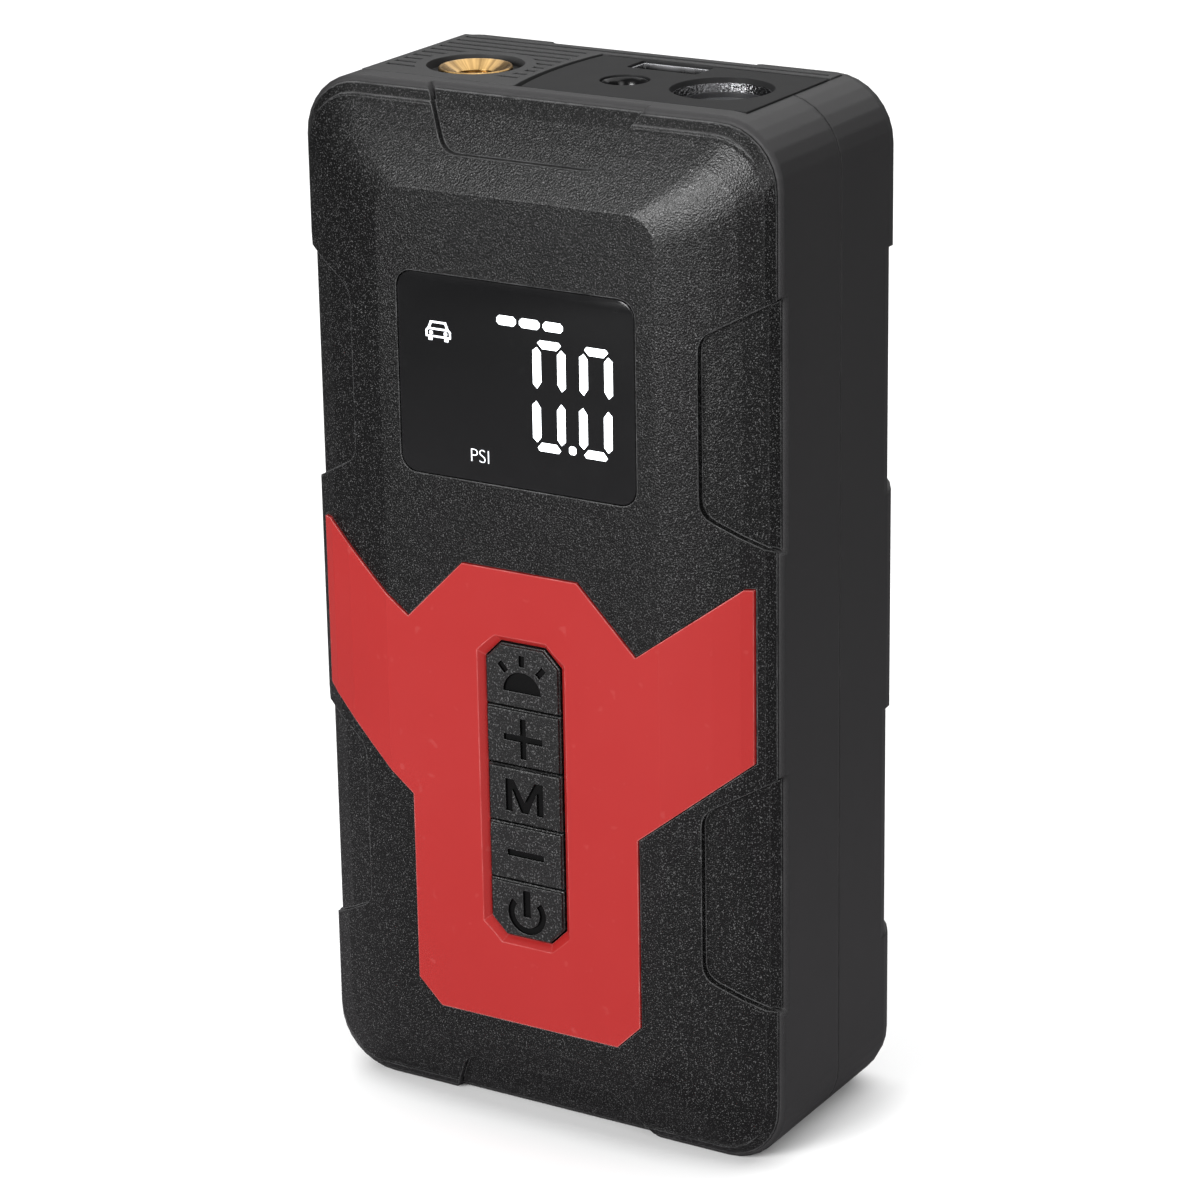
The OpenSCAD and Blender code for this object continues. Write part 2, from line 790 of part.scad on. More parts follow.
module key_switches() {
    color("#3a3c3f") for (i = [0:4]) {
        z = key_middle(i);
        translate([-switch_w / 2, switch_top_y + switch_button_h, z - switch_w / 2])
            cube([switch_w, board_y - switch_top_y - switch_button_h, switch_w]);
        bar_y([0, z], switch_button_r, switch_top_y, board_y);
    }
}

// --- Keys ----------------------------------------------------------------------------------

function key_middle(i) = (key_edges[i] + key_edges[i + 1]) / 2;

// One key of the column, counted from the lowest, with its flange and its stem
module key(i) {
    low = key_edges[i] + (i == 0 ? key_gap : key_gap / 2);
    high = key_edges[i + 1] - (i == 4 ? key_gap : key_gap / 2);
    stem_end = switch_top_y - key_travel - switch_rest_gap;
    bevel = 0.5;
    color("#1a1a1b") union() {
        intersection() {
            standing(key_face_y + bevel, key_back_y) polygon(slot_outline(-key_gap));
            translate([-slot_w, key_face_y, low]) cube([2 * slot_w, key_t + 1, high - low]);
        }
        intersection() {
            standing(key_face_y, key_face_y + bevel) polygon(slot_outline(-key_gap - bevel / 2));
            translate([-slot_w, key_face_y, low + bevel / 2])
                cube([2 * slot_w, bevel, high - low - bevel]);
        }
        translate([-flange_w / 2, flange_y, low]) cube([flange_w, flange_t, high - low]);
        bar_y([0, key_middle(i)], stem_r, flange_y, stem_end);
    }
}

module power_key() { key(0); }
module minus_key() { key(1); }
module mode_key() { key(2); }
module plus_key() { key(3); }
module light_key() { key(4); }

// --- Top inserts ---------------------------------------------------------------------------

// Round of the port panel's left edge, grown by g
module divider_round(g) {
    translate([divider_x + divider_arc_r, 2, plate_z - 1])
        cylinder(r = divider_arc_r + g, h = top_plate_t + 2, $fn = 180);
}

// Vent grille beside and behind the port panel, with the collar of the air outlet
module vent_grille() {
    left = -insert_half_w + fit;
    front = insert_front_y + fit;
    back = insert_back_y - fit;
    rows = floor((back - front - 2 * vent_border) / vent_pitch);
    color("#2b2b2c") difference() {
        union() {
            difference() {
                translate([left, front, plate_z]) cube([divider_x + 2 - left, back - front, top_plate_t]);
                intersection() {
                    divider_round(fit);
                    translate([divider_x - 1, front - 1, plate_z - 1])
                        cube([9, divider_y + fit - front + 1, top_plate_t + 2]);
                }
            }
            translate([left, divider_y + fit, plate_z])
                cube([-2 * left, back - divider_y - fit, top_plate_t]);
            translate([outlet_x, outlet_y, outlet_neck_z + 2])
                cylinder(r = collar_r, h = pack_h - outlet_neck_z - 2);
        }
        difference() {
            for (i = [0:rows - 1]) {
                y = back - vent_border - vent_slot - i * vent_pitch;
                right = y > divider_y + 1 ? -left : divider_x;
                translate([left + vent_border, y, plate_z - 1])
                    cube([right - left - 2 * vent_border, vent_slot, top_plate_t + 2]);
            }
            translate([outlet_x, outlet_y, plate_z - 2]) cylinder(r = collar_r + 0.6, h = 10);
        }
        translate([outlet_x, outlet_y, outlet_neck_z]) cylinder(r = outlet_neck_r + 0.1, h = 20);
        translate([outlet_x, outlet_y, plate_z - 2.2]) cylinder(r = outlet_r + 0.2, h = 10);
        translate([outlet_x, outlet_y, pack_h - outlet_groove_depth])
            cylinder(r = outlet_r + outlet_groove_w, h = 10);
    }
}

// The port panel up to a height, drawn in from its round left edge and its back edge by g
module panel_plate(g, h) {
    front = insert_front_y + fit;
    intersection() {
        translate([divider_x, front, plate_z])
            cube([insert_half_w - fit - divider_x, divider_y - fit - g - front, h]);
        divider_round(-fit - g);
    }
}

// Smooth panel round the sockets and the torch
module port_panel() {
    color("#2e2e2f") difference() {
        union() {
            panel_plate(0, top_plate_t - panel_groove_depth);
            panel_plate(panel_groove_w, top_plate_t);
        }
        translate([usb_x, usb_y, plate_z - 1]) linear_extrude(top_plate_t + 2)
            polygon(rounded(usb_in_w + 2 * usb_wall + 2 * fit, usb_in_h + 2 * usb_wall + 2 * fit, 0.8));
        translate([dc_x, dc_y, plate_z - 1]) cylinder(r = dc_r + fit, h = top_plate_t + 2);
        translate([torch_x, torch_y, plate_z - 1]) cylinder(r = torch_lens_r + 0.6, h = top_plate_t + 2);
        translate([torch_x, torch_y, plate_z + 0.4])
            cylinder(r1 = torch_lens_r + 0.6, r2 = torch_r + 0.2, h = top_plate_t);
    }
}

// Brass hose connector: a flat face with the hose thread, a neck and a barb below
module air_outlet() {
    top = pack_h - outlet_sunk;
    color("#c79a4b") translate([outlet_x, outlet_y, 0]) difference() {
        union() {
            translate([0, 0, plate_z - 2]) cylinder(r = outlet_r, h = top - plate_z + 2);
            translate([0, 0, outlet_neck_z]) cylinder(r = outlet_neck_r, h = top - outlet_neck_z);
            translate([0, 0, outlet_barb_z]) cylinder(r = barb_r, h = barb_len + 2);
        }
        translate([0, 0, top - outlet_bore_len]) cylinder(r = outlet_bore_r, h = outlet_bore_len + 1);
        translate([0, 0, outlet_barb_z - 1]) cylinder(r = barb_bore_r, h = 20);
    }
}

// Short hose from the cylinder head to the brass connector
module outlet_hose() {
    color("#4a4a4c") translate([outlet_x, outlet_y, head_top_z + 0.1]) difference() {
        cylinder(r = barb_r + hose_wall, h = outlet_neck_z - head_top_z - 0.2);
        translate([0, 0, -1]) cylinder(r = barb_r + 0.02, h = outlet_neck_z - head_top_z + 2);
    }
}

module usb_shell() {
    color("silver") translate([usb_x, usb_y, usb_shell_z]) difference() {
        linear_extrude(pack_h - 0.4 - usb_shell_z)
            polygon(rounded(usb_in_w + 2 * usb_wall, usb_in_h + 2 * usb_wall, 0.7));
        translate([0, 0, -1]) linear_extrude(30) polygon(rounded(usb_in_w, usb_in_h, 0.4));
    }
}

// Insulator of the USB socket: a block at the bottom and the contact tongue
module usb_tongue() {
    tongue_w = 11.1;
    tongue_t = 1.84;
    base = 3;
    color("#f2f2f0") translate([usb_x, usb_y, usb_shell_z]) union() {
        translate([-usb_in_w / 2 + 0.5, -usb_in_h / 2 + 0.5, 0])
            cube([usb_in_w - 1, usb_in_h - 1, base]);
        translate([-tongue_w / 2, usb_in_h / 2 - 0.7 - tongue_t, 0])
            cube([tongue_w, tongue_t, pack_h - 2.2 - usb_shell_z]);
    }
}

module dc_socket() {
    top = pack_h - 0.3;
    color("#151516") translate([dc_x, dc_y, usb_shell_z]) difference() {
        cylinder(r = dc_r, h = top - usb_shell_z);
        translate([0, 0, top - usb_shell_z - dc_depth]) cylinder(r = dc_bore_r, h = dc_depth + 1);
    }
}

module dc_pin() {
    low = pack_h - 0.3 - dc_depth;
    color("silver") translate([dc_x, dc_y, low]) union() {
        cylinder(r = dc_pin_r, h = dc_depth - 1.8);
        translate([0, 0, dc_depth - 1.8]) cylinder(r1 = dc_pin_r, r2 = dc_pin_r * 0.6, h = 0.6);
    }
}

// Small board that carries the USB and the charging socket
module port_board() {
    left = divider_x + port_board_margin;
    right = torch_x - torch_housing_r - 0.4;
    front = insert_front_y + port_board_margin - port_board_edge;
    color("#1f5a38") translate([left, front, port_board_z])
        cube([right - left, divider_y - port_board_edge - front, board_t]);
}

// --- Torch ---------------------------------------------------------------------------------

module torch_housing() {
    color("#1a1a1b") translate([torch_x, torch_y, 0]) difference() {
        translate([0, 0, torch_base_z]) cylinder(r = torch_housing_r, h = plate_z - torch_base_z);
        translate([0, 0, torch_lens_top - torch_lens_t]) cylinder(r = torch_lens_r + fit, h = torch_depth);
        translate([0, 0, torch_base_z + torch_floor])
            cylinder(r = torch_lens_r - 0.3, h = torch_lens_top - torch_base_z);
    }
}

module torch_reflector() {
    low = torch_base_z + torch_floor + 0.1;
    height = torch_lens_top - torch_lens_t - low - 0.02;
    outer = torch_lens_r - 0.4;
    color("#d8d8da") translate([torch_x, torch_y, low]) rotate_extrude()
        polygon(concat(
            [for (i = [0:8]) [led_r + 0.2 + (outer - led_r - 0.2) * sqrt(i / 8) * 0.999, height * i / 8]],
            [for (i = [8:-1:0]) [led_r + 0.2 + reflector_wall + (outer - led_r - 0.2 - reflector_wall)
                * sqrt(i / 8) + (i == 8 ? 0.05 : 0), height * i / 8]]));
}

module torch_lens() {
    color([0.9, 0.95, 1, 0.4]) translate([torch_x, torch_y, torch_lens_top - torch_lens_t])
        cylinder(r = torch_lens_r, h = torch_lens_t);
}

module torch_led() {
    color("#e8d870") translate([torch_x, torch_y, torch_base_z + torch_floor]) union() {
        cylinder(r = led_r, h = 1.2);
        translate([0, 0, 1.2]) cylinder(r1 = led_r - 0.5, r2 = led_r - 1.2, h = 0.8);
    }
}

// --- Jump socket ---------------------------------------------------------------------------

// Moulded shell in the left wall: a rebate for the flap, the plug pocket and two contact bores
module jump_socket() {
    color("#1f3f7c") difference() {
        jump_prism(shell_len, shell_w, shell_r, jump_face_x + 0.05, jump_back_x);
        jump_prism(flap_len + 2 * flap_gap, flap_w + 2 * flap_gap, shell_r - shell_wall + 0.4,
            jump_face_x - 1, jump_face_x + flap_t + flap_gap);
        jump_prism(pocket_len, pocket_w, 2.5, jump_face_x - 1, pocket_floor_x);
        for (s = [-1, 1])
            bar_x(jump_y, jump_z + s * contact_pitch / 2, contact_bore_r + contact_wall + 0.02,
                pocket_floor_x - 1, jump_back_x + 1);
    }
}

module jump_contacts() {
    color("#d9b45a") for (s = [-1, 1]) difference() {
        bar_x(jump_y, jump_z + s * contact_pitch / 2, contact_bore_r + contact_wall,
            pocket_floor_x + 0.4, jump_back_x + contact_tail);
        bar_x(jump_y, jump_z + s * contact_pitch / 2, contact_bore_r, pocket_floor_x, jump_back_x + 0.5);
    }
}

// Rubber flap over the jump socket; it bends down about its lower outer edge
module jump_flap() {
    rim_h = 0.9;
    color("#202021") difference() {
        jump_prism(flap_len, flap_w, shell_r - shell_wall, jump_face_x, jump_face_x + flap_t);
        jump_prism(pocket_len - 2, pocket_w - 2, 2, jump_face_x + flap_t - rim_h, jump_face_x + flap_t + 1);
    }
}

// --- Battery -------------------------------------------------------------------------------

module battery_tray() {
    half = cell_w / 2 + cell_gap + tray_wall;
    color("#3b3d40") difference() {
        translate([-half, tray_front_y, tray_low_z])
            cube([2 * half, tray_back_y - tray_front_y, cell_h + tray_wall + cell_gap]);
        translate([tray_wall - half, tray_front_y - 1, tray_low_z + tray_wall])
            cube([2 * (half - tray_wall), cell_back_y - tray_front_y + 1 + cell_gap / 2, cell_h + 10]);
    }
}

// One pouch cell of the stack, counted from the back, with rounded long edges
module cell(i) {
    y = cell_back_y - (i + 1) * (cell_t + cell_gap) + cell_gap / 2;
    color("#8f9aa6") translate([0, y, cell_low_z]) linear_extrude(cell_h)
        translate([0, cell_t / 2]) polygon(rounded(cell_w, cell_t, 2.5));
}

module battery_cell_1() { cell(0); }
module battery_cell_2() { cell(1); }
module battery_cell_3() { cell(2); }

// Welded tabs on top of the cells
module cell_tabs() {
    color("#c9ccd0") for (i = [0:cell_count - 1], s = [-1, 1])
        translate([s * tab_x - tab_w / 2, cell_back_y - (i + 0.5) * (cell_t + cell_gap) - tab_t / 2,
            cell_low_z + cell_h + tab_seat])
            cube([tab_w, tab_t, tab_h]);
}

// --- Compressor ----------------------------------------------------------------------------

// Plate that carries the motor, the gear and the cylinder
module compressor_frame() {
    front = motor_y - motor_r + 0.5;
    clamp_z = cylinder_low_z + clamp_rise;
    color("#a9adb2") difference() {
        union() {
            translate([frame_x, front, motor_z - motor_r])
                cube([frame_t, inner_back_y - back_gap - front, clamp_z + clamp_h - motor_z + motor_r]);
            translate([cylinder_x, motor_y, clamp_z])
                cylinder(r = cylinder_out_r + clamp_wall, h = clamp_h);
        }
        translate([cylinder_x, motor_y, clamp_z - 1]) cylinder(r = cylinder_out_r + 0.02, h = clamp_h + 2);
        bar_x(motor_y, motor_z, motor_boss_r + 0.05, frame_x - 1, frame_x + frame_t + 1);
        bar_x(motor_y, gear_z, bearing_r + 0.02, frame_x - 1, frame_x + frame_t + 1);
    }
}

module motor() {
    rear_boss = 2;
    color("#b7bbc0") difference() {
        union() {
            bar_x(motor_y, motor_z, motor_r, motor_x, motor_x + motor_len);
            bar_x(motor_y, motor_z, motor_boss_r, motor_x - frame_t, motor_x + 1);
            bar_x(motor_y, motor_z, motor_boss_r, motor_x + motor_len - 1, motor_x + motor_len + rear_boss - 1);
        }
        bar_x(motor_y, motor_z, shaft_r + run_gap, motor_x - frame_t - 1, motor_x + 10);
        // Cooling slots round the can
        for (a = [45:90:315])
            translate([motor_x + 6, motor_y, motor_z]) rotate([a, 0, 0])
                translate([0, -1.5, motor_r - 0.8]) cube([12, 3, 2]);
    }
}

module motor_shaft() {
    color("silver") bar_x(motor_y, motor_z, shaft_r, gear_x - 0.6, motor_x + 9.6);
}

module drive_pinion() {
    color("#c79a4b") difference() {
        translate([gear_x, motor_y, motor_z]) rotate([0, 90, 0]) linear_extrude(gear_t + 1)
            polygon(gear_outline(pinion_teeth));
        bar_x(motor_y, motor_z, shaft_r, gear_x - 1, gear_x + gear_t + 2);
    }
}

module drive_gear() {
    color("#e4e1d6") difference() {
        union() {
            translate([gear_x, motor_y, gear_z]) rotate([0, 90, 0]) linear_extrude(gear_t)
                rotate(180 / gear_teeth) polygon(gear_outline(gear_teeth));
            bar_x(motor_y, gear_z, gear_hub_r, gear_x, frame_x - 0.4);
        }
        bar_x(motor_y, gear_z, gear_shaft_r, gear_x - 1, frame_x + 1);
        bar_x(motor_y, crank_z, pin_r, gear_x - 1, gear_x + gear_t + 1);
        // Lightening holes in the web
        for (a = [60:60:300])
            bar_x(motor_y + 8.4 * sin(a), gear_z + 8.4 * cos(a), 2.3, gear_x - 1, gear_x + gear_t + 1);
    }
}

module gear_shaft() {
    color("silver") bar_x(motor_y, gear_z, gear_shaft_r, gear_x, frame_x + frame_t + 0.8);
}

module gear_bearing() {
    color("#b08b4a") difference() {
        bar_x(motor_y, gear_z, bearing_r, frame_x, frame_x + frame_t);
        bar_x(motor_y, gear_z, gear_shaft_r + run_gap, frame_x - 1, frame_x + frame_t + 1);
    }
}

module crank_pin() {
    color("silver") union() {
        bar_x(motor_y, crank_z, pin_r, rod_x - 0.6, gear_x + gear_t);
        bar_x(motor_y, crank_z, pin_r + 0.8, rod_x - 1.4, rod_x - 0.4);
    }
}

module connecting_rod() {
    color("#d9d4c4") difference() {
        union() {
            bar_x(motor_y, crank_z, big_end_r, rod_x, rod_x + rod_t);
            bar_x(motor_y, small_end_z, small_end_r, rod_x, rod_x + rod_t);
            translate([rod_x, motor_y - 1.4, crank_z]) cube([rod_t, 2.8, rod_len]);
        }
        bar_x(motor_y, crank_z, pin_r + run_gap, rod_x - 1, rod_x + rod_t + 1);
        bar_x(motor_y, small_end_z, 1.2, rod_x - 1, rod_x + rod_t + 1);
    }
}

module gudgeon_pin() {
    color("silver") bar_x(motor_y, small_end_z, 1.2, cylinder_x - 3.2, cylinder_x + 3.2);
}

// Hollow piston; its skirt leaves room for the swing of the rod's small end
module piston() {
    outer = cylinder_r - piston_gap;
    color("#dcdcdc") translate([cylinder_x, motor_y, 0]) difference() {
        translate([0, 0, piston_low_z]) cylinder(r = outer, h = piston_top_z - piston_low_z);
        translate([0, 0, piston_low_z - 1])
            cylinder(r = outer - piston_skin, h = piston_top_z - piston_crown_t - piston_low_z + 1);
    }
}

module cylinder_lugs(z, h) {
    for (p = head_spots)
        translate([p[0], p[1], z]) cylinder(r = cylinder_lug_r, h = h);
}

module cylinder_screw_holes() {
    for (p = head_spots)
        translate([p[0], p[1], cylinder_top_z - 5]) cylinder(r = head_screw_r + 0.02, h = 20);
}

module cylinder_barrel() {
    color("#c2c6ca") difference() {
        union() {
            translate([cylinder_x, motor_y, cylinder_low_z])
                cylinder(r = cylinder_out_r, h = cylinder_top_z - cylinder_low_z);
            cylinder_lugs(cylinder_top_z - 6, 6);
        }
        translate([cylinder_x, motor_y, cylinder_low_z - 1])
            cylinder(r = cylinder_r, h = cylinder_top_z - cylinder_low_z + 2);
        cylinder_screw_holes();
    }
}

// Head with the outlet barb, which stands under the hose connector
module cylinder_head() {
    color("#aeb3b8") difference() {
        union() {
            translate([cylinder_x, motor_y, cylinder_top_z]) cylinder(r = cylinder_out_r, h = head_t);
            cylinder_lugs(cylinder_top_z, head_t);
            hull() {
                translate([outlet_x, outlet_y, cylinder_top_z]) cylinder(r = outlet_neck_r, h = head_t);
                translate([cylinder_x, motor_y, cylinder_top_z]) cylinder(r = outlet_neck_r, h = head_t);
            }
            translate([outlet_x, outlet_y, cylinder_top_z]) cylinder(r = barb_r, h = head_t + 4);
        }
        translate([outlet_x, outlet_y, cylinder_top_z + 1]) cylinder(r = barb_bore_r, h = 20);
        cylinder_screw_holes();
    }
}

// --- Fasteners -----------------------------------------------------------------------------

module casing_screws() {
    seat = parting_y + screw_seat;
    length = 18;
    color("#5c5f63") for (p = boss_spots) difference() {
        union() {
            bar_y(p, screw_r, seat - length, seat + 1);
            bar_y(p, screw_head_r, seat, seat + screw_head_t);
        }
        // Cross recess
        for (a = [0, 90])
            translate([p[0], seat + screw_head_t, p[1]]) rotate([0, a, 0])
                cube([3, 2, 0.7], center = true);
    }
}

module board_screws() {
    back = board_y + board_t;
    color("#5c5f63") for (p = board_screw_spots) union() {
        bar_y(p, board_screw_r, board_y - board_screw_bite, back + 1);
        bar_y(p, board_screw_head_r, back, back + 1.4);
    }
}

module head_screws() {
    color("#5c5f63") for (p = head_spots) union() {
        translate([p[0], p[1], cylinder_top_z - 4.5]) cylinder(r = head_screw_r, h = head_t + 5);
        translate([p[0], p[1], head_top_z]) cylinder(r = 1.9, h = 1.3);
    }
}

front_cover();
front_casing();
rear_casing();
inlay_panel();
display_window();
display_module();
main_board();
board_components();
key_switches();
light_key();
plus_key();
mode_key();
minus_key();
power_key();
port_panel();
vent_grille();
air_outlet();
outlet_hose();
usb_shell();
usb_tongue();
dc_socket();
dc_pin();
port_board();
torch_housing();
torch_reflector();
torch_lens();
torch_led();
jump_socket();
jump_contacts();
jump_flap();
battery_tray();
battery_cell_1();
battery_cell_2();
battery_cell_3();
cell_tabs();
compressor_frame();
motor();
motor_shaft();
drive_pinion();
drive_gear();
gear_shaft();
gear_bearing();
crank_pin();
connecting_rod();
gudgeon_pin();
piston();
cylinder_barrel();
cylinder_head();
casing_screws();
board_screws();
head_screws();
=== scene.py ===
"""Looks of the jump starter pack: mouldings, lit display, sunk legends, threads and contacts."""
import math

import bpy
from mathutils import Matrix, Vector


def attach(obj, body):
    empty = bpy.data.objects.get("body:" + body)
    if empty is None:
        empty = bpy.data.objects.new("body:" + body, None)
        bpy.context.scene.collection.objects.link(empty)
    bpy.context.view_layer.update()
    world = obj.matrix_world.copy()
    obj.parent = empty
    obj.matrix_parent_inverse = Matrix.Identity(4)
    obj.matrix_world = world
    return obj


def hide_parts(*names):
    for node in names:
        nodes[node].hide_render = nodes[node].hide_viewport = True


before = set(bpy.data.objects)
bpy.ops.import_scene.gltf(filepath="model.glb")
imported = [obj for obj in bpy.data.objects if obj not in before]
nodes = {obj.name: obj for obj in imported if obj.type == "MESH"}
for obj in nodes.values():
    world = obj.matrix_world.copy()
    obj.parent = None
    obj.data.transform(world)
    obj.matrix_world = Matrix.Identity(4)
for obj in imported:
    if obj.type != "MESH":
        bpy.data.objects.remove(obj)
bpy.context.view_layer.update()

MM = 0.001
MM_PER_METRE = 1000.0
PACK = "pack"

# Places shared with the solids, in millimetres
FACE_Y = -24.6
INLAY_Y = -25.0
KEY_FACE_Y = -24.7
KEY_EDGES = {"power_key": (35.7, 46.15), "minus_key": (46.15, 56.6), "mode_key": (56.6, 67.05),
             "plus_key": (67.05, 77.5), "light_key": (77.5, 89.0)}
OUTLET = (-21.4, -0.7)
USB = (8.75, 11.4)
CHARGER = (7.1, -0.4)
TORCH = (24.4, 1.0)

# Roundings and depths of the pieces made here, in millimetres, and the lathe's steps per turn
KEY_ROUNDING = 0.22
WINDOW_ROUNDING = 0.18
LEGEND_DEPTH = 0.55
PRINT_FRONT, PRINT_BACK = FACE_Y - 0.02, FACE_Y + 0.1
LATHE_STEPS = 96


# ---------------------------------------------------------------------------------------------
# Modelling helpers

def pick(*objects):
    """Selects these objects and nothing else."""
    if bpy.context.object and bpy.context.object.mode != "OBJECT":
        bpy.ops.object.mode_set(mode="OBJECT")
    bpy.ops.object.select_all(action="DESELECT")
    for obj in objects:
        obj.select_set(True)
    bpy.context.view_layer.objects.active = objects[-1]


def settle(obj):
    """Puts the object's place, turn and scale into its mesh."""
    pick(obj)
    bpy.ops.object.transform_apply(location=True, rotation=True, scale=True)
    return obj


def apply_modifier(obj, kind, **values):
    """Adds a modifier with these values and applies it."""
    pick(obj)
    modifier = obj.modifiers.new(kind.title(), kind)
    for key, value in values.items():
        setattr(modifier, key, value)
    bpy.ops.object.modifier_apply(modifier=modifier.name)


def clean(obj, merge=1e-6, dissolve=False):
    """Merges doubles and turns all faces outwards; dissolve also joins flat neighbours."""
    pick(obj)
    bpy.ops.object.mode_set(mode="EDIT")
    bpy.ops.mesh.select_all(action="SELECT")
    bpy.ops.mesh.remove_doubles(threshold=merge)
    if dissolve:
        bpy.ops.mesh.dissolve_limited(angle_limit=math.radians(0.5))
    bpy.ops.mesh.normals_make_consistent(inside=False)
    bpy.ops.object.mode_set(mode="OBJECT")


def soften(obj, width, segments):
    """Rounds the edges of a piece, width in millimetres."""
    apply_modifier(obj, "BEVEL", width=width * MM, segments=segments, limit_method="ANGLE",
                   angle_limit=math.radians(30), use_clamp_overlap=True)
    pick(obj)
    bpy.ops.object.shade_smooth_by_angle(angle=math.radians(35))


def plate(name, loops, front, back, middle=(0, 0)):
    """An upright plate between two depths from flat loops of (x, z); inner loops are holes."""
    curve = bpy.data.curves.new(name, "CURVE")
    curve.dimensions, curve.fill_mode = "2D", "BOTH"
    curve.extrude = (back - front) / 2 * MM
    for loop in loops:
        spline = curve.splines.new("POLY")
        spline.points.add(len(loop) - 1)
        for point, (x, z) in zip(spline.points, loop):
            point.co = ((x + middle[0]) * MM, (z + middle[1]) * MM, 0, 1)
        spline.use_cyclic_u = True
    obj = bpy.data.objects.new(name, curve)
    bpy.context.scene.collection.objects.link(obj)
    obj.rotation_euler = (math.pi / 2, 0, 0)
    obj.location = (0, (front + back) / 2 * MM, 0)
    pick(obj)
    bpy.ops.object.convert(target="MESH")
    obj = bpy.context.object
    settle(obj)
    clean(obj)
    return obj


def joined(name, objects):
    """Joins the objects into one, under a new name."""
    pick(*objects)
    bpy.ops.object.join()
    obj = bpy.context.object
    obj.name = obj.data.name = name
    return obj


def ring_points(radius, count=40, start=0.0, end=360.0, x=0.0, z=0.0, squash=1.0):
    """Points on an arc, angles in degrees from +X."""
    closed = abs(end - start) >= 360
    steps = count if closed else count - 1
    return [(x + radius * math.cos(math.radians(start + (end - start) * i / steps)),
             z + radius * squash * math.sin(math.radians(start + (end - start) * i / steps)))
            for i in range(count)]


def box_loop(x0, z0, x1, z1, chamfer=0.0):
    """A rectangle with cut corners."""
    c = chamfer
    if not c:
        return [(x0, z0), (x1, z0), (x1, z1), (x0, z1)]
    return [(x0 + c, z0), (x1 - c, z0), (x1, z0 + c), (x1, z1 - c),
            (x1 - c, z1), (x0 + c, z1), (x0, z1 - c), (x0, z0 + c)]


def turned(loop, degrees, x, z):
    """A loop turned round its origin and then moved by x and z."""
    c, s = math.cos(math.radians(degrees)), math.sin(math.radians(degrees))
    return [(x + px * c - pz * s, z + px * s + pz * c) for px, pz in loop]


def copy_of(node, name, dissolve=True):
    """A merged copy of a node's mesh; dissolve also joins its flat neighbours."""
    obj = nodes[node].copy()
    obj.data = nodes[node].data.copy()
    obj.name = obj.data.name = name
    obj.parent = None
    for key in list(obj.keys()):
        del obj[key]
    bpy.context.scene.collection.objects.link(obj)
    clean(obj, merge=2e-6, dissolve=dissolve)
    return obj


def turned_part(name, profile, x, y):
    """A part turned on a lathe: draws a profile of (radius, z) and spins it round an upright axis."""
    bpy.ops.object.select_all(action="DESELECT")
    bpy.ops.mesh.primitive_plane_add(size=MM, location=(0, 0, 0))
    obj = bpy.context.object
    obj.name = obj.data.name = name
    bpy.ops.object.mode_set(mode="EDIT")
    bpy.ops.mesh.select_mode(type="VERT")
    bpy.ops.mesh.select_all(action="SELECT")
    bpy.ops.mesh.merge(type="CENTER")
    bpy.ops.transform.translate(value=(profile[0][0] * MM, 0, profile[0][1] * MM))
    for (r0, z0), (r1, z1) in zip(profile, profile[1:]):
        bpy.ops.mesh.extrude_vertices_move(
            TRANSFORM_OT_translate={"value": ((r1 - r0) * MM, 0, (z1 - z0) * MM)})
    bpy.ops.mesh.select_all(action="SELECT")
    bpy.ops.mesh.spin(steps=LATHE_STEPS, angle=2 * math.pi, center=(0, 0, 0), axis=(0, 0, 1))
    bpy.ops.object.mode_set(mode="OBJECT")
    obj.location = (x * MM, y * MM, 0)
    settle(obj)
    clean(obj, merge=2e-6)
    pick(obj)
    bpy.ops.object.shade_smooth_by_angle(angle=math.radians(30))
    return obj


# ---------------------------------------------------------------------------------------------
# Shader node groups

def new_group(name, inputs, outputs):
    """An empty group with its inputs and outputs declared."""
    group = bpy.data.node_groups.new(name, "ShaderNodeTree")
    for label, kind, default in inputs:
        socket = group.interface.new_socket(label, in_out="INPUT", socket_type=kind)
        socket.default_value = default
    for label, kind in outputs:
        group.interface.new_socket(label, in_out="OUTPUT", socket_type=kind)
    return group, group.nodes.new("NodeGroupInput"), group.nodes.new("NodeGroupOutput")


def maths(tree, operation, first, second=None, clamp=False):
    """A Math node; each operand is a number or a socket."""
    made = tree.nodes.new("ShaderNodeMath")
    made.operation, made.use_clamp = operation, clamp
    for slot, value in ((0, first), (1, second)):
        if value is None:
            continue
        if isinstance(value, (int, float)):
            made.inputs[slot].default_value = value
        else:
            tree.links.new(value, made.inputs[slot])
    return made.outputs[0]


def remap(tree, value, low, high, out_low=0.0, out_high=1.0):
    """Stretches the range from low to high over the range out_low to out_high."""
    made = tree.nodes.new("ShaderNodeMapRange")
    tree.links.new(value, made.inputs["Value"])
    for label, number in (("From Min", low), ("From Max", high), ("To Min", out_low), ("To Max", out_high)):
        made.inputs[label].default_value = number
    return made.outputs["Result"]


def noise(tree, coords, scale, detail, roughness):
    """A noise pattern; the scale is a number or a socket."""
    made = tree.nodes.new("ShaderNodeTexNoise")
    tree.links.new(coords, made.inputs["Vector"])
    for label, number in (("Detail", detail), ("Roughness", roughness)):
        made.inputs[label].default_value = number
    if isinstance(scale, (int, float)):
        made.inputs["Scale"].default_value = scale
    else:
        tree.links.new(scale, made.inputs["Scale"])
    return made.outputs["Fac"]


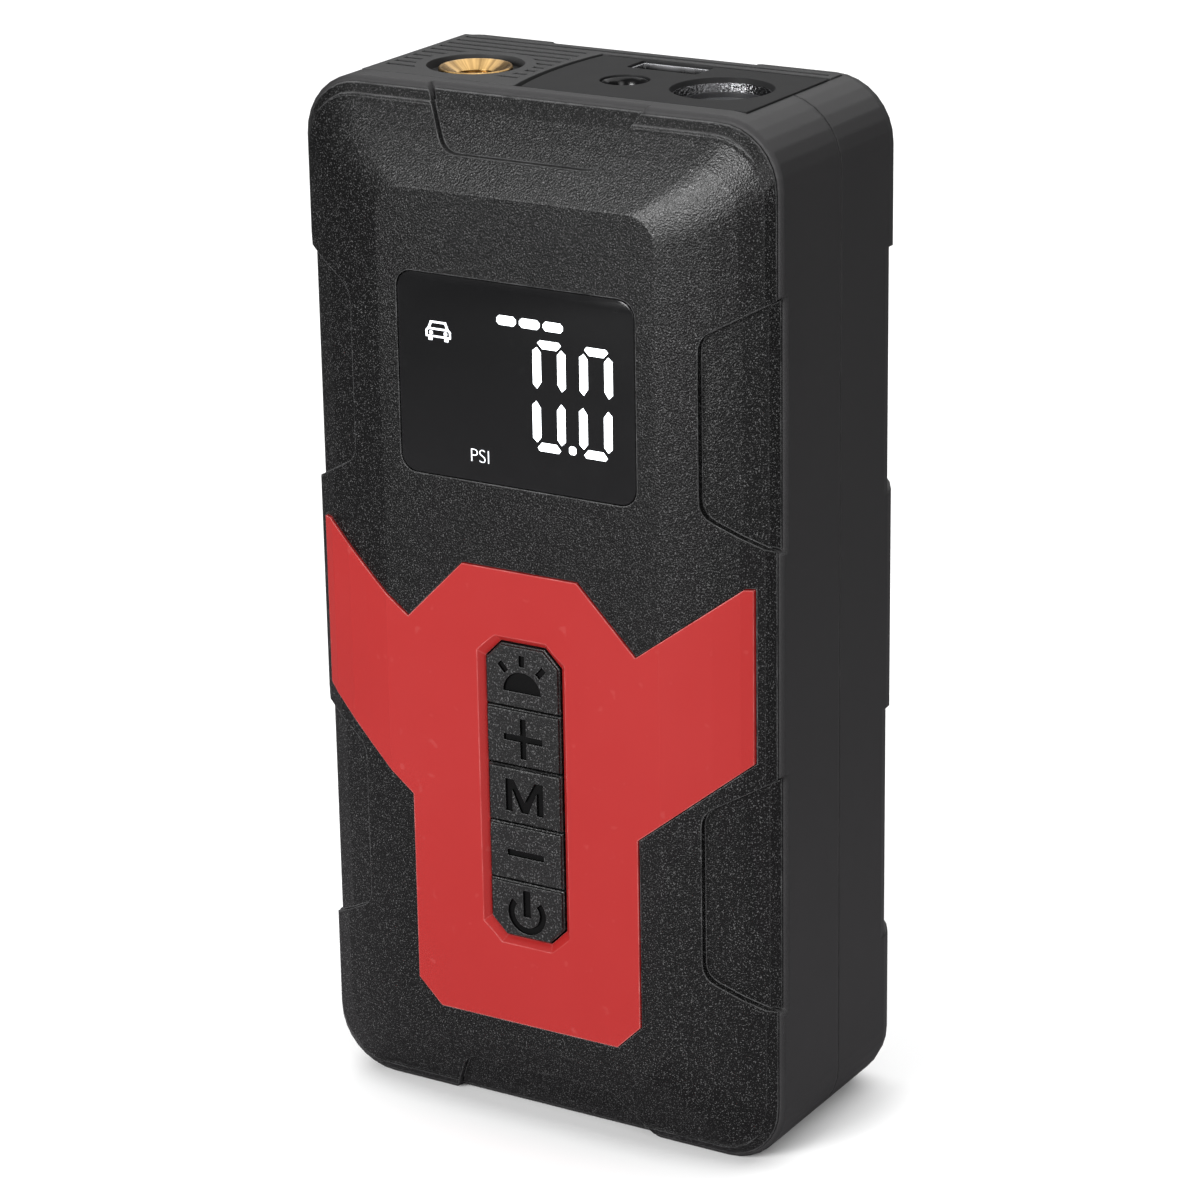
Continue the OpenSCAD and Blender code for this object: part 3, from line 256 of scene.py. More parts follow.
def spark_grain_group():
    """Spark-eroded mould grain: fine pits, with single facets whose brightness is a painted glint."""
    group, given, out = new_group(
        "spark_grain",
        [("Pitch", "NodeSocketFloat", 0.35), ("Facets", "NodeSocketFloat", 0.5)],
        [("Height", "NodeSocketFloat"), ("Glint_facet", "NodeSocketFloat"), ("Smudge", "NodeSocketFloat")])
    coords = group.nodes.new("ShaderNodeTexCoord").outputs["Object"]
    scale = maths(group, "DIVIDE", MM_PER_METRE, given.outputs["Pitch"])
    fine = noise(group, coords, scale, detail=2.5, roughness=0.65)
    pits = group.nodes.new("ShaderNodeTexVoronoi")
    pits.feature = "F1"
    group.links.new(coords, pits.inputs["Vector"])
    group.links.new(maths(group, "MULTIPLY", scale, 0.8), pits.inputs["Scale"])
    height = maths(group, "ADD", maths(group, "MULTIPLY", fine, 0.65),
                   maths(group, "MULTIPLY", pits.outputs["Distance"], 0.5))
    group.links.new(height, out.inputs["Height"])
    # Facet mask: where the colour is lifted, these specks are painted glints
    spots = noise(group, coords, maths(group, "MULTIPLY", scale, 1.15), detail=1.0, roughness=0.5)
    glint_facet = maths(group, "MULTIPLY", remap(group, spots, 0.60, 0.70), given.outputs["Facets"], clamp=True)
    group.links.new(glint_facet, out.inputs["Glint_facet"])
    smudge = noise(group, coords, scale=22.0, detail=3.0, roughness=0.55)
    group.links.new(remap(group, smudge, 0.3, 0.7), out.inputs["Smudge"])
    return group


def fine_matt_group():
    """Even matt skin of a plain moulding, with faint handling marks."""
    group, given, out = new_group(
        "fine_matt", [("Pitch", "NodeSocketFloat", 0.2)],
        [("Height", "NodeSocketFloat"), ("Smudge", "NodeSocketFloat"), ("Speck", "NodeSocketFloat")])
    coords = group.nodes.new("ShaderNodeTexCoord").outputs["Object"]
    scale = maths(group, "DIVIDE", MM_PER_METRE, given.outputs["Pitch"])
    group.links.new(noise(group, coords, scale, detail=2.0, roughness=0.6), out.inputs["Height"])
    smudge = noise(group, coords, scale=30.0, detail=4.0, roughness=0.6)
    group.links.new(remap(group, smudge, 0.32, 0.68), out.inputs["Smudge"])
    speck = noise(group, coords, scale=420.0, detail=1.0, roughness=0.5)
    group.links.new(remap(group, speck, 0.71, 0.78), out.inputs["Speck"])
    return group


def worn_and_lit_edges_group():
    """Rounds the edges' shading and marks the edges that are lightened, partly as rubbed wear and partly as
    painted highlight.
    """
    group, given, out = new_group(
        "worn_and_lit_edges", [("Radius", "NodeSocketFloat", 0.3), ("Rubbed", "NodeSocketFloat", 0.5)],
        [("Normal", "NodeSocketVector"), ("Edge", "NodeSocketFloat")])
    bevel = group.nodes.new("ShaderNodeBevel")
    bevel.samples = 6
    group.links.new(maths(group, "MULTIPLY", given.outputs["Radius"], MM), bevel.inputs["Radius"])
    true_normal = group.nodes.new("ShaderNodeNewGeometry").outputs["True Normal"]
    dot = group.nodes.new("ShaderNodeVectorMath")
    dot.operation = "DOT_PRODUCT"
    group.links.new(bevel.outputs["Normal"], dot.inputs[0])
    group.links.new(true_normal, dot.inputs[1])
    bend = remap(group, dot.outputs["Value"], 0.995, 0.85)
    coords = group.nodes.new("ShaderNodeTexCoord").outputs["Object"]
    patches = noise(group, coords, scale=260.0, detail=3.0, roughness=0.6)
    broken = remap(group, patches, 0.35, 0.7, out_low=0.25)
    # Edge mask: rubbed wear and painted highlight along the edges
    edge = maths(group, "MULTIPLY", maths(group, "MULTIPLY", bend, broken), given.outputs["Rubbed"],
                 clamp=True)
    group.links.new(bevel.outputs["Normal"], out.inputs["Normal"])
    group.links.new(edge, out.inputs["Edge"])
    return group


def machined_group():
    """Turning and rolling marks on metal."""
    group, given, out = new_group(
        "machined", [("Marks", "NodeSocketFloat", 900.0)],
        [("Height", "NodeSocketFloat"), ("Tarnish", "NodeSocketFloat")])
    coords = group.nodes.new("ShaderNodeTexCoord").outputs["Object"]
    stretch = group.nodes.new("ShaderNodeMapping")
    stretch.inputs["Scale"].default_value = (0.15, 0.15, 1.0)
    group.links.new(coords, stretch.inputs["Vector"])
    marks = noise(group, stretch.outputs["Vector"], given.outputs["Marks"], detail=3.0, roughness=0.6)
    group.links.new(marks, out.inputs["Height"])
    tarnish = noise(group, coords, scale=190.0, detail=4.0, roughness=0.6)
    group.links.new(remap(group, tarnish, 0.35, 0.7), out.inputs["Tarnish"])
    return group


def painted_radial_sheen_group():
    """Rays of painted light and shade round an upright axis, standing in for the streaked reflection on a
    turned face.
    """
    group, given, out = new_group(
        "painted_radial_sheen",
        [("X", "NodeSocketFloat", 0.0), ("Y", "NodeSocketFloat", 0.0), ("Rays", "NodeSocketFloat", 6.0)],
        [("Sheen", "NodeSocketFloat")])
    coords = group.nodes.new("ShaderNodeTexCoord").outputs["Object"]
    parts = group.nodes.new("ShaderNodeSeparateXYZ")
    group.links.new(coords, parts.inputs["Vector"])
    east = maths(group, "SUBTRACT", parts.outputs["X"], maths(group, "MULTIPLY", given.outputs["X"], MM))
    north = maths(group, "SUBTRACT", parts.outputs["Y"], maths(group, "MULTIPLY", given.outputs["Y"], MM))
    angle = maths(group, "ARCTAN2", north, east)
    ray = group.nodes.new("ShaderNodeCombineXYZ")
    group.links.new(maths(group, "SINE", angle), ray.inputs["X"])
    group.links.new(maths(group, "COSINE", angle), ray.inputs["Y"])
    streaks = noise(group, ray.outputs["Vector"], given.outputs["Rays"], detail=3.0, roughness=0.7)
    group.links.new(remap(group, streaks, 0.38, 0.66), out.inputs["Sheen"])
    return group


def mouth_shade_group():
    """Mask for painted shade: white above a rim height and black below a lower one, in millimetres."""
    group, given, out = new_group(
        "painted_depth_shade", [("Low", "NodeSocketFloat", 0.0), ("High", "NodeSocketFloat", 1.0)],
        [("Rim", "NodeSocketFloat")])
    parts = group.nodes.new("ShaderNodeSeparateXYZ")
    group.links.new(group.nodes.new("ShaderNodeTexCoord").outputs["Object"], parts.inputs["Vector"])
    height = maths(group, "MULTIPLY", parts.outputs["Z"], MM_PER_METRE)
    span = maths(group, "SUBTRACT", given.outputs["High"], given.outputs["Low"])
    above = maths(group, "SUBTRACT", height, given.outputs["Low"])
    rim = maths(group, "DIVIDE", above, span, clamp=True)
    group.links.new(rim, out.inputs["Rim"])
    return group


GRAIN = spark_grain_group()
MATT = fine_matt_group()
WORN_AND_LIT_EDGES = worn_and_lit_edges_group()
MACHINED = machined_group()
PAINTED_SHEEN = painted_radial_sheen_group()
DEPTH = mouth_shade_group()


# ---------------------------------------------------------------------------------------------
# Materials

DUST = 0.05             # share of the worn and highlight edge tone in a dust speck
RUBBED_AND_LIT_METAL = 1.25     # gain of a metal's bright tone on its edges, as rubbed wear and painted highlight
RAY_SCALE = 3.2         # scale of the painted streaks of reflection round the hose connector's face
BETWEEN_RAYS = 0.55     # gain of the dull tone painted as shade between those streaks
PAINTED_MOUTH_SHADE = 0.03         # gain of the dull tone painted as shade deep in an open mouth
LIT_FADE = 0.86         # gain of a lit segment's weaker stretches


def toned(colour, gain):
    """The colour made lighter or darker, with no channel over one."""
    return tuple(min(1.0, channel * gain) for channel in colour)


def start_material(name, **constants):
    """A material whose Principled BSDF has these plain values."""
    material = bpy.data.materials.new(name)
    material.use_nodes = True
    tree = material.node_tree
    shader = tree.nodes["Principled BSDF"]
    for key, value in constants.items():
        shader.inputs[key.replace("_", " ")].default_value = value
    return material, tree, shader


def placed(tree, group, **values):
    """Puts a group into a material with its own values."""
    made = tree.nodes.new("ShaderNodeGroup")
    made.node_tree = group
    for key, value in values.items():
        made.inputs[key].default_value = value
    return made.outputs


def tint(tree, factor, first, second):
    """Mixes two colours, or two colour sockets, by a mask."""
    made = tree.nodes.new("ShaderNodeMix")
    made.data_type = "RGBA"
    tree.links.new(factor, made.inputs["Factor"])
    for label, value in (("A", first), ("B", second)):
        socket = [s for s in made.inputs if s.name == label and s.type == "RGBA"][0]
        if isinstance(value, tuple):
            socket.default_value = (*value, 1)
        else:
            tree.links.new(value, socket)
    return [s for s in made.outputs if s.type == "RGBA"][0]


def bumped(tree, height, distance, normal=None):
    """The normal of a relief, its distance in millimetres."""
    made = tree.nodes.new("ShaderNodeBump")
    made.inputs["Strength"].default_value = 1.0
    made.inputs["Distance"].default_value = distance * MM
    tree.links.new(height, made.inputs["Height"])
    if normal is not None:
        tree.links.new(normal, made.inputs["Normal"])
    return made.outputs["Normal"]


def grained_plastic(name, dark, bright, worn_and_highlight, pitch, depth, facets, rough, radius, rubbed_and_lit, **constants):
    """Textured moulding: a dark ground with brighter facets that are painted glints, and edges lightened by
    rubbing and by painted highlight.
    """
    material, tree, shader = start_material(name, **constants)
    grain = placed(tree, GRAIN, Pitch=pitch, Facets=facets)
    lit_and_worn_edge = placed(tree, WORN_AND_LIT_EDGES, Radius=radius, Rubbed=rubbed_and_lit)
    # Painted glints: the bright facets lift the colour
    colour = tint(tree, grain["Glint_facet"], dark, bright)
    # Edges lightened: rubbed wear and painted highlight
    tree.links.new(tint(tree, lit_and_worn_edge["Edge"], colour, worn_and_highlight), shader.inputs["Base Color"])
    skin = remap(tree, grain["Smudge"], 0, 1, rough[0], rough[1])
    polished = maths(tree, "MULTIPLY", grain["Glint_facet"], -0.1)
    tree.links.new(maths(tree, "ADD", skin, polished, clamp=True), shader.inputs["Roughness"])
    tree.links.new(bumped(tree, grain["Height"], depth, lit_and_worn_edge["Normal"]), shader.inputs["Normal"])
    return material


def matt_plastic(name, base, shade, worn_and_highlight, pitch, depth, rough, radius, rubbed_and_lit=0.4, **constants):
    """Plain matt moulding with faint smudges and rare dust specks; its edges are lightened as wear and as
    painted highlight.
    """
    material, tree, shader = start_material(name, **constants)
    matt = placed(tree, MATT, Pitch=pitch)
    lit_and_worn_edge = placed(tree, WORN_AND_LIT_EDGES, Radius=radius, Rubbed=rubbed_and_lit)
    colour = tint(tree, matt["Smudge"], base, shade)
    colour = tint(tree, maths(tree, "MULTIPLY", matt["Speck"], DUST), colour, worn_and_highlight)
    # Edges lightened: rubbed wear and painted highlight
    tree.links.new(tint(tree, lit_and_worn_edge["Edge"], colour, worn_and_highlight), shader.inputs["Base Color"])
    tree.links.new(remap(tree, matt["Smudge"], 0, 1, rough[0], rough[1]), shader.inputs["Roughness"])
    tree.links.new(bumped(tree, matt["Height"], depth, lit_and_worn_edge["Normal"]), shader.inputs["Normal"])
    return material


def metal(name, bright, dull, marks, rough, centre=None, mouth=None):
    """Worked metal, its edges lightened by rubbing and by painted highlight; a centre gives a painted radial
    sheen, a mouth paints shade on what lies deeper than its rim.
    """
    material, tree, shader = start_material(name, Metallic=1.0)
    cut = placed(tree, MACHINED, Marks=marks)
    lit_and_worn_edge = placed(tree, WORN_AND_LIT_EDGES, Radius=0.15, Rubbed=0.6)
    colour = tint(tree, cut["Tarnish"], bright, dull)
    if centre:
        # Painted sheen: streaks of reflection and shade in the colour of the face
        sheen = placed(tree, PAINTED_SHEEN, X=centre[0], Y=centre[1], Rays=RAY_SCALE)
        colour = tint(tree, sheen["Sheen"], toned(dull, BETWEEN_RAYS), colour)
    if mouth:
        # Painted shade: what lies deeper than the mouth's rim is darkened
        deep = placed(tree, DEPTH, Low=mouth[0], High=mouth[1])
        colour = tint(tree, deep["Rim"], toned(dull, PAINTED_MOUTH_SHADE), colour)
    rubbed_and_lit = toned(bright, RUBBED_AND_LIT_METAL)
    # Edges lightened: rubbed wear and painted highlight
    tree.links.new(tint(tree, lit_and_worn_edge["Edge"], colour, rubbed_and_lit), shader.inputs["Base Color"])
    tree.links.new(remap(tree, cut["Tarnish"], 0, 1, rough[0], rough[1]), shader.inputs["Roughness"])
    tree.links.new(bumped(tree, cut["Height"], 0.01, lit_and_worn_edge["Normal"]), shader.inputs["Normal"])
    return material


def orange_peel(name, bright, dull, pitch, depth, rough):
    """Vacuum-coated reflector with a dimpled face."""
    material, tree, shader = start_material(name, Metallic=1.0)
    dimples = placed(tree, MATT, Pitch=pitch)
    tree.links.new(tint(tree, dimples["Smudge"], bright, dull), shader.inputs["Base Color"])
    tree.links.new(remap(tree, dimples["Speck"], 0, 1, rough[0], rough[1]), shader.inputs["Roughness"])
    tree.links.new(bumped(tree, dimples["Height"], depth), shader.inputs["Normal"])
    return material


def glowing(name, colour, strength):
    """Light guide of the display: lit white, a little weaker in places."""
    material, tree, shader = start_material(name, Roughness=0.4, Emission_Strength=strength)
    matt = placed(tree, MATT, Pitch=0.6)
    lit = tint(tree, matt["Smudge"], colour, toned(colour, LIT_FADE))
    tree.links.new(lit, shader.inputs["Emission Color"])
    tree.links.new(lit, shader.inputs["Base Color"])
    return material


# Cover and keys: the bright facet tone is painted glint; the worn tone on edges is wear and painted
# highlight
COVER = grained_plastic(
    "cover_grain", dark=(0.0004, 0.0004, 0.0005), bright=(0.068, 0.068, 0.0685), worn_and_highlight=(0.12, 0.12, 0.122),
    pitch=0.26, depth=0.085, facets=1.0, rough=(0.32, 0.37), radius=0.35, rubbed_and_lit=1.0,
    Specular_IOR_Level=0.33)
KEYS = grained_plastic(
    "key_grain", dark=(0.0035, 0.0035, 0.0036), bright=(0.070, 0.070, 0.071), worn_and_highlight=(0.070, 0.070, 0.071),
    pitch=0.30, depth=0.07, facets=1.0, rough=(0.34, 0.42), radius=0.25, rubbed_and_lit=0.6,
    Specular_IOR_Level=0.45)
# Faces inside the sunk legends: darker and duller as painted shade
KEY_SUNK_SHADE = matt_plastic(
    "sunk_legend_shade", base=(0.0022, 0.0022, 0.0023), shade=(0.003, 0.003, 0.0031), worn_and_highlight=(0.006, 0.006, 0.006),
    pitch=0.3, depth=0.01, rough=(0.5, 0.6), radius=0.1, rubbed_and_lit=0.1, Specular_IOR_Level=0.08)
CASING = matt_plastic(
    "casing_matt", base=(0.0135, 0.0129, 0.0137), shade=(0.0150, 0.0144, 0.0152), worn_and_highlight=(0.045, 0.044, 0.045),
    pitch=0.16, depth=0.012, rough=(0.50, 0.58), radius=0.9, rubbed_and_lit=0.35, Specular_IOR_Level=0.40)
PANEL = matt_plastic(
    "panel_matt", base=(0.0135, 0.0135, 0.0140), shade=(0.0160, 0.0160, 0.0165), worn_and_highlight=(0.070, 0.070, 0.071),
    pitch=0.18, depth=0.012, rough=(0.46, 0.55), radius=0.3, rubbed_and_lit=0.4, Specular_IOR_Level=0.08)
GRILLE = matt_plastic(
    "grille_matt", base=(0.032, 0.032, 0.0325), shade=(0.038, 0.038, 0.0385), worn_and_highlight=(0.120, 0.120, 0.121),
    pitch=0.18, depth=0.012, rough=(0.40, 0.50), radius=0.3, rubbed_and_lit=0.5, Specular_IOR_Level=0.15)
# The inlay's light edge tone is wear and painted highlight
INLAY = matt_plastic(
    "inlay_red", base=(0.252, 0.0118, 0.0112), shade=(0.262, 0.0125, 0.0119), worn_and_highlight=(0.60, 0.22, 0.21),
    pitch=0.22, depth=0.010, rough=(0.30, 0.36), radius=0.35, rubbed_and_lit=0.8, Specular_IOR_Level=0.26)
GLOSS = matt_plastic(
    "gloss_black", base=(0.0030, 0.0030, 0.0032), shade=(0.0040, 0.0040, 0.0042), worn_and_highlight=(0.020, 0.020, 0.021),
    pitch=0.3, depth=0.004, rough=(0.18, 0.26), radius=0.25, rubbed_and_lit=0.3, Specular_IOR_Level=0.28)
WINDOW = matt_plastic(
    "window_tint", base=(0.0050, 0.0050, 0.0053), shade=(0.0054, 0.0054, 0.0057), worn_and_highlight=(0.030, 0.030, 0.031),
    pitch=0.5, depth=0.001, rough=(0.12, 0.16), radius=0.25, rubbed_and_lit=0.5, Specular_IOR_Level=0.25)
LIT = glowing("lit_segment", colour=(0.93, 0.97, 1.0), strength=2.6)
LIT_SMALL = glowing("lit_symbol", colour=(0.80, 0.83, 0.88), strength=0.9)
BRASS = metal("brass_turned", bright=(0.55, 0.34, 0.13), dull=(0.36, 0.21, 0.075),
              marks=1500.0, rough=(0.26, 0.38))
# The connector's face has painted radial streaks of reflection
CONNECTOR = metal("brass_face", bright=(0.62, 0.40, 0.16), dull=(0.40, 0.245, 0.09),
                  marks=1500.0, rough=(0.26, 0.38), centre=OUTLET)
STEEL = metal("steel_bright", bright=(0.62, 0.62, 0.64), dull=(0.45, 0.45, 0.47),
              marks=1300.0, rough=(0.24, 0.36))
DARK_STEEL = metal("steel_blackened", bright=(0.12, 0.12, 0.125), dull=(0.07, 0.07, 0.075),
                   marks=1300.0, rough=(0.34, 0.46))
GOLD = metal("contact_plating", bright=(0.86, 0.62, 0.27), dull=(0.70, 0.48, 0.20),
             marks=1800.0, rough=(0.16, 0.26))
ALUMINIUM = metal("cast_aluminium", bright=(0.66, 0.67, 0.69), dull=(0.52, 0.53, 0.55),
                  marks=500.0, rough=(0.34, 0.5))
FOIL = metal("cell_foil", bright=(0.60, 0.62, 0.66), dull=(0.50, 0.52, 0.56),
             marks=300.0, rough=(0.3, 0.42))
# The USB shell's inside is darkened as painted shade
USB_STEEL = metal("steel_formed", bright=(0.62, 0.62, 0.64), dull=(0.45, 0.45, 0.47),
                  marks=1300.0, rough=(0.24, 0.36), mouth=(178.6, 179.5))
MIRROR = orange_peel("reflector_coat", bright=(0.80, 0.80, 0.82), dull=(0.68, 0.68, 0.70),
                     pitch=0.9, depth=0.12, rough=(0.10, 0.18))
DARK_MIRROR = orange_peel("bezel_coat", bright=(0.15, 0.15, 0.155), dull=(0.05, 0.05, 0.053),
                          pitch=0.42, depth=0.22, rough=(0.10, 0.18))
BOARD = matt_plastic(
    "solder_mask", base=(0.010, 0.085, 0.034), shade=(0.014, 0.10, 0.042), worn_and_highlight=(0.10, 0.25, 0.13),
    pitch=0.8, depth=0.01, rough=(0.28, 0.36), radius=0.15)
COMPONENT = matt_plastic(
    "component_body", base=(0.018, 0.018, 0.02), shade=(0.025, 0.025, 0.028), worn_and_highlight=(0.08, 0.08, 0.085),
    pitch=0.25, depth=0.01, rough=(0.45, 0.55), radius=0.2)
SOCKET = matt_plastic(
    "socket_blue", base=(0.018, 0.055, 0.24), shade=(0.024, 0.068, 0.27), worn_and_highlight=(0.10, 0.19, 0.46),
    pitch=0.25, depth=0.012, rough=(0.38, 0.48), radius=0.3)
WHITE = matt_plastic(
    "insulator_white", base=(0.72, 0.72, 0.69), shade=(0.66, 0.66, 0.63), worn_and_highlight=(0.82, 0.82, 0.80),
    pitch=0.25, depth=0.01, rough=(0.4, 0.5), radius=0.2)
RUBBER = matt_plastic(
    "soft_rubber", base=(0.016, 0.016, 0.0165), shade=(0.022, 0.022, 0.0225), worn_and_highlight=(0.05, 0.05, 0.051),
    pitch=0.3, depth=0.02, rough=(0.62, 0.74), radius=0.4)
TRAY = matt_plastic(
    "tray_grey", base=(0.045, 0.048, 0.052), shade=(0.055, 0.058, 0.063), worn_and_highlight=(0.11, 0.115, 0.12),
    pitch=0.25, depth=0.012, rough=(0.5, 0.6), radius=0.3)
NYLON = matt_plastic(
    "gear_nylon", base=(0.68, 0.66, 0.58), shade=(0.62, 0.60, 0.52), worn_and_highlight=(0.78, 0.76, 0.69),
    pitch=0.3, depth=0.01, rough=(0.36, 0.46), radius=0.2)
PHOSPHOR = matt_plastic(
    "led_phosphor", base=(0.85, 0.72, 0.16), shade=(0.80, 0.66, 0.13), worn_and_highlight=(0.92, 0.85, 0.45),
    pitch=0.2, depth=0.01, rough=(0.3, 0.4), radius=0.1)
LENS = matt_plastic(
    "lens_clear", base=(0.30, 0.31, 0.32), shade=(0.28, 0.29, 0.30), worn_and_highlight=(0.6, 0.6, 0.6),
    pitch=0.8, depth=0.002, rough=(0.03, 0.06), radius=0.15, rubbed_and_lit=0.2,
    Alpha=0.14, Specular_IOR_Level=0.5)

FINISHES = {
    COVER: ["front_cover"], CASING: ["front_casing", "rear_casing"], INLAY: ["inlay_panel"],
    PANEL: ["port_panel"], GRILLE: ["vent_grille"], WINDOW: ["display_window"],
    KEYS: ["light_key", "plus_key", "mode_key", "minus_key", "power_key"],
    COMPONENT: ["display_module", "board_components", "key_switches", "dc_socket", "torch_housing"],
    BOARD: ["main_board", "port_board"], BRASS: ["air_outlet", "drive_pinion", "gear_bearing"],
    RUBBER: ["outlet_hose", "jump_flap"], USB_STEEL: ["usb_shell"],
    STEEL: ["dc_pin", "motor", "motor_shaft", "cell_tabs", "gear_shaft", "crank_pin", "gudgeon_pin"],
    DARK_STEEL: ["casing_screws", "board_screws", "head_screws"], WHITE: ["usb_tongue"],
    MIRROR: ["torch_reflector"], LENS: ["torch_lens"], PHOSPHOR: ["torch_led"],
    SOCKET: ["jump_socket"], GOLD: ["jump_contacts"], TRAY: ["battery_tray"],
    FOIL: ["battery_cell_1", "battery_cell_2", "battery_cell_3"], NYLON: ["drive_gear", "connecting_rod"],
    ALUMINIUM: ["compressor_frame", "piston", "cylinder_barrel", "cylinder_head"],
}
for finish, names in FINISHES.items():
    for name in names:
        nodes[name].data.materials.clear()
        nodes[name].data.materials.append(finish)


def finished(obj, material, body, replaces=()):
    """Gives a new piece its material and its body."""
    obj.data.materials.clear()
    obj.data.materials.append(material)
    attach(obj, body)
    if replaces:
        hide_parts(*replaces)
    return obj


# ---------------------------------------------------------------------------------------------
# Inlay with a bevelled lip round the key slot

def inlay_skin():
    """The inlay with a flat bevel cut round its slot."""
    skin = copy_of("inlay_panel", "inlay_skin", dissolve=False)
    low, high = KEY_EDGES["power_key"][0], KEY_EDGES["light_key"][1]
    middle, half_width, half_height = (low + high) / 2, 7.45, (high - low) / 2
    reach, corner = 1.1, 3.1
    slot = box_loop(-half_width, -half_height, half_width, half_height, corner)
    cutter = plate("cutter", [slot], INLAY_Y - reach, INLAY_Y + reach, (0, middle))
    bpy.ops.object.mode_set(mode="EDIT")
    bpy.ops.mesh.select_mode(type="FACE")
    bpy.ops.mesh.select_all(action="DESELECT")
    bpy.ops.object.mode_set(mode="OBJECT")
    for face in cutter.data.polygons:
        face.select = face.center.y < (INLAY_Y - reach / 2) * MM
    bpy.ops.object.mode_set(mode="EDIT")
    bpy.ops.transform.resize(value=(1 + 2 * reach / half_width, 1, 1 + 2 * reach / half_height),
                             center_override=(0, INLAY_Y * MM, middle * MM))
    bpy.ops.mesh.select_mode(type="VERT")
    bpy.ops.object.mode_set(mode="OBJECT")
    apply_modifier(skin, "BOOLEAN", operation="DIFFERENCE", solver="EXACT", object=cutter)
    bpy.data.objects.remove(cutter)
    clean(skin)
    pick(skin)
    bpy.ops.object.shade_smooth_by_angle(angle=math.radians(12))
    return skin


finished(inlay_skin(), INLAY, PACK, ["inlay_panel"])


# ---------------------------------------------------------------------------------------------
# Keys with sunk legends

def half_sun():
    """Sign of the torch: a dome with three rays."""
    horizon = -2.75
    dome = ring_points(3.7, count=17, start=0, end=180, z=horizon, squash=0.98)
    rays = [turned(box_loop(-0.55, 0, 0.55, 2.0), -a, 4.5 * math.sin(math.radians(a)),
                   horizon + 4.6 * math.cos(math.radians(a))) for a in (-42, 0, 42)]
    return [dome] + rays


def plus_sign():
    """Sign for more: arms to the sides, upright arms and half their stroke."""
    side, rise, half = 3.8, 3.6, 0.58
    return [[(-side, -half), (-half, -half), (-half, -rise), (half, -rise), (half, -half), (side, -half),
             (side, half), (half, half), (half, rise), (-half, rise), (-half, half), (-side, half)]]


def letter_m():
    """Sign for the mode, from half its width and height and its stroke."""
    w, h, t = 3.7, 2.9, 1.3
    return [[(-w, -h), (-w + t, -h), (-w + t, 1.0), (-0.65, -h), (0.65, -h), (w - t, 1.0), (w - t, -h),
             (w, -h), (w, h), (w - t - 0.35, h), (0, -0.9), (-w + t + 0.35, h), (-w, h)]]


def minus_sign():
    """Sign for less."""
    return [box_loop(-3.6, -0.58, 3.6, 0.58)]


def power_symbol():
    """Sign for on and off: a broken ring and an upright bar."""
    outer = ring_points(3.75, count=34, start=140, end=400, z=-0.35)
    inner = ring_points(2.5, count=34, start=400, end=140, z=-0.35)
    return [outer + inner, box_loop(-0.75, -0.9, 0.75, 3.9)]


LEGENDS = {"light_key": half_sun(), "plus_key": plus_sign(), "mode_key": letter_m(),
           "minus_key": minus_sign(), "power_key": power_symbol()}


def key_cap(key, middle):
    """A key with rounded edges and its legend sunk into its face; the sunk faces take a darker, duller
    material as painted shade.
    """
    cap = copy_of(key, key + "_cap")
    soften(cap, KEY_ROUNDING, 3)
    finished(cap, KEYS, key, [key])
    cap.data.materials.append(KEY_SUNK_SHADE)
    for loop in LEGENDS[key]:
        cutter = plate("cutter", [loop], KEY_FACE_Y - 1, KEY_FACE_Y + LEGEND_DEPTH, (0, middle))
        cutter.data.materials.append(KEY_SUNK_SHADE)
        apply_modifier(cap, "BOOLEAN", operation="DIFFERENCE", solver="EXACT", object=cutter,
                       material_mode="TRANSFER")
        bpy.data.objects.remove(cutter)
    clean(cap)
    pick(cap)
    bpy.ops.object.shade_flat()


for key, (low, high) in KEY_EDGES.items():
    key_cap(key, (low + high) / 2)


# ---------------------------------------------------------------------------------------------
# Display

def lit_segments():
    """Segments of the two rows of figures, the point and the three dashes."""
    digit_pitch = 8.8
    loops = [box_loop(x0, 143.6, x1, 145.2, 0.5) for x0, x1 in ((-3.28, 0.41), (1.03, 4.91), (5.52, 9.27))]
    for x in (0.0, digit_pitch):
        loops.append([(4.4 + x, 141.45), (4.85 + x, 141.95), (8.4 + x, 141.95), (8.85 + x, 141.45),
                      (8.0 + x, 140.55), (5.25 + x, 140.55)])
        loops.append([(3.45 + x, 134.5), (4.2 + x, 133.8), (5.0 + x, 134.9), (5.0 + x, 139.9),
                      (4.25 + x, 140.75), (3.45 + x, 140.1)])
        loops.append([(9.63 + x, 134.5), (8.9 + x, 133.8), (8.1 + x, 134.9), (8.1 + x, 139.9),
                      (8.85 + x, 140.75), (9.63 + x, 140.1)])
        loops.append([(3.25 + x, 131.0), (4.0 + x, 131.7), (4.8 + x, 130.6), (4.8 + x, 125.6),
                      (4.05 + x, 124.7), (3.25 + x, 125.4)])
        loops.append([(9.43 + x, 131.0), (8.7 + x, 131.7), (7.9 + x, 130.6), (7.9 + x, 125.6),
                      (8.65 + x, 124.7), (9.43 + x, 125.4)])
        loops.append([(4.1 + x, 123.8), (4.5 + x, 123.3), (8.1 + x, 123.3), (8.5 + x, 123.8),
                      (7.7 + x, 124.75), (4.9 + x, 124.75)])
    loops.append(box_loop(10.05, 123.5, 11.37, 124.9, 0.3))
    parts = [plate("segment", [loop], PRINT_FRONT, PRINT_BACK) for loop in loops]
    return joined("lit_segments", parts)


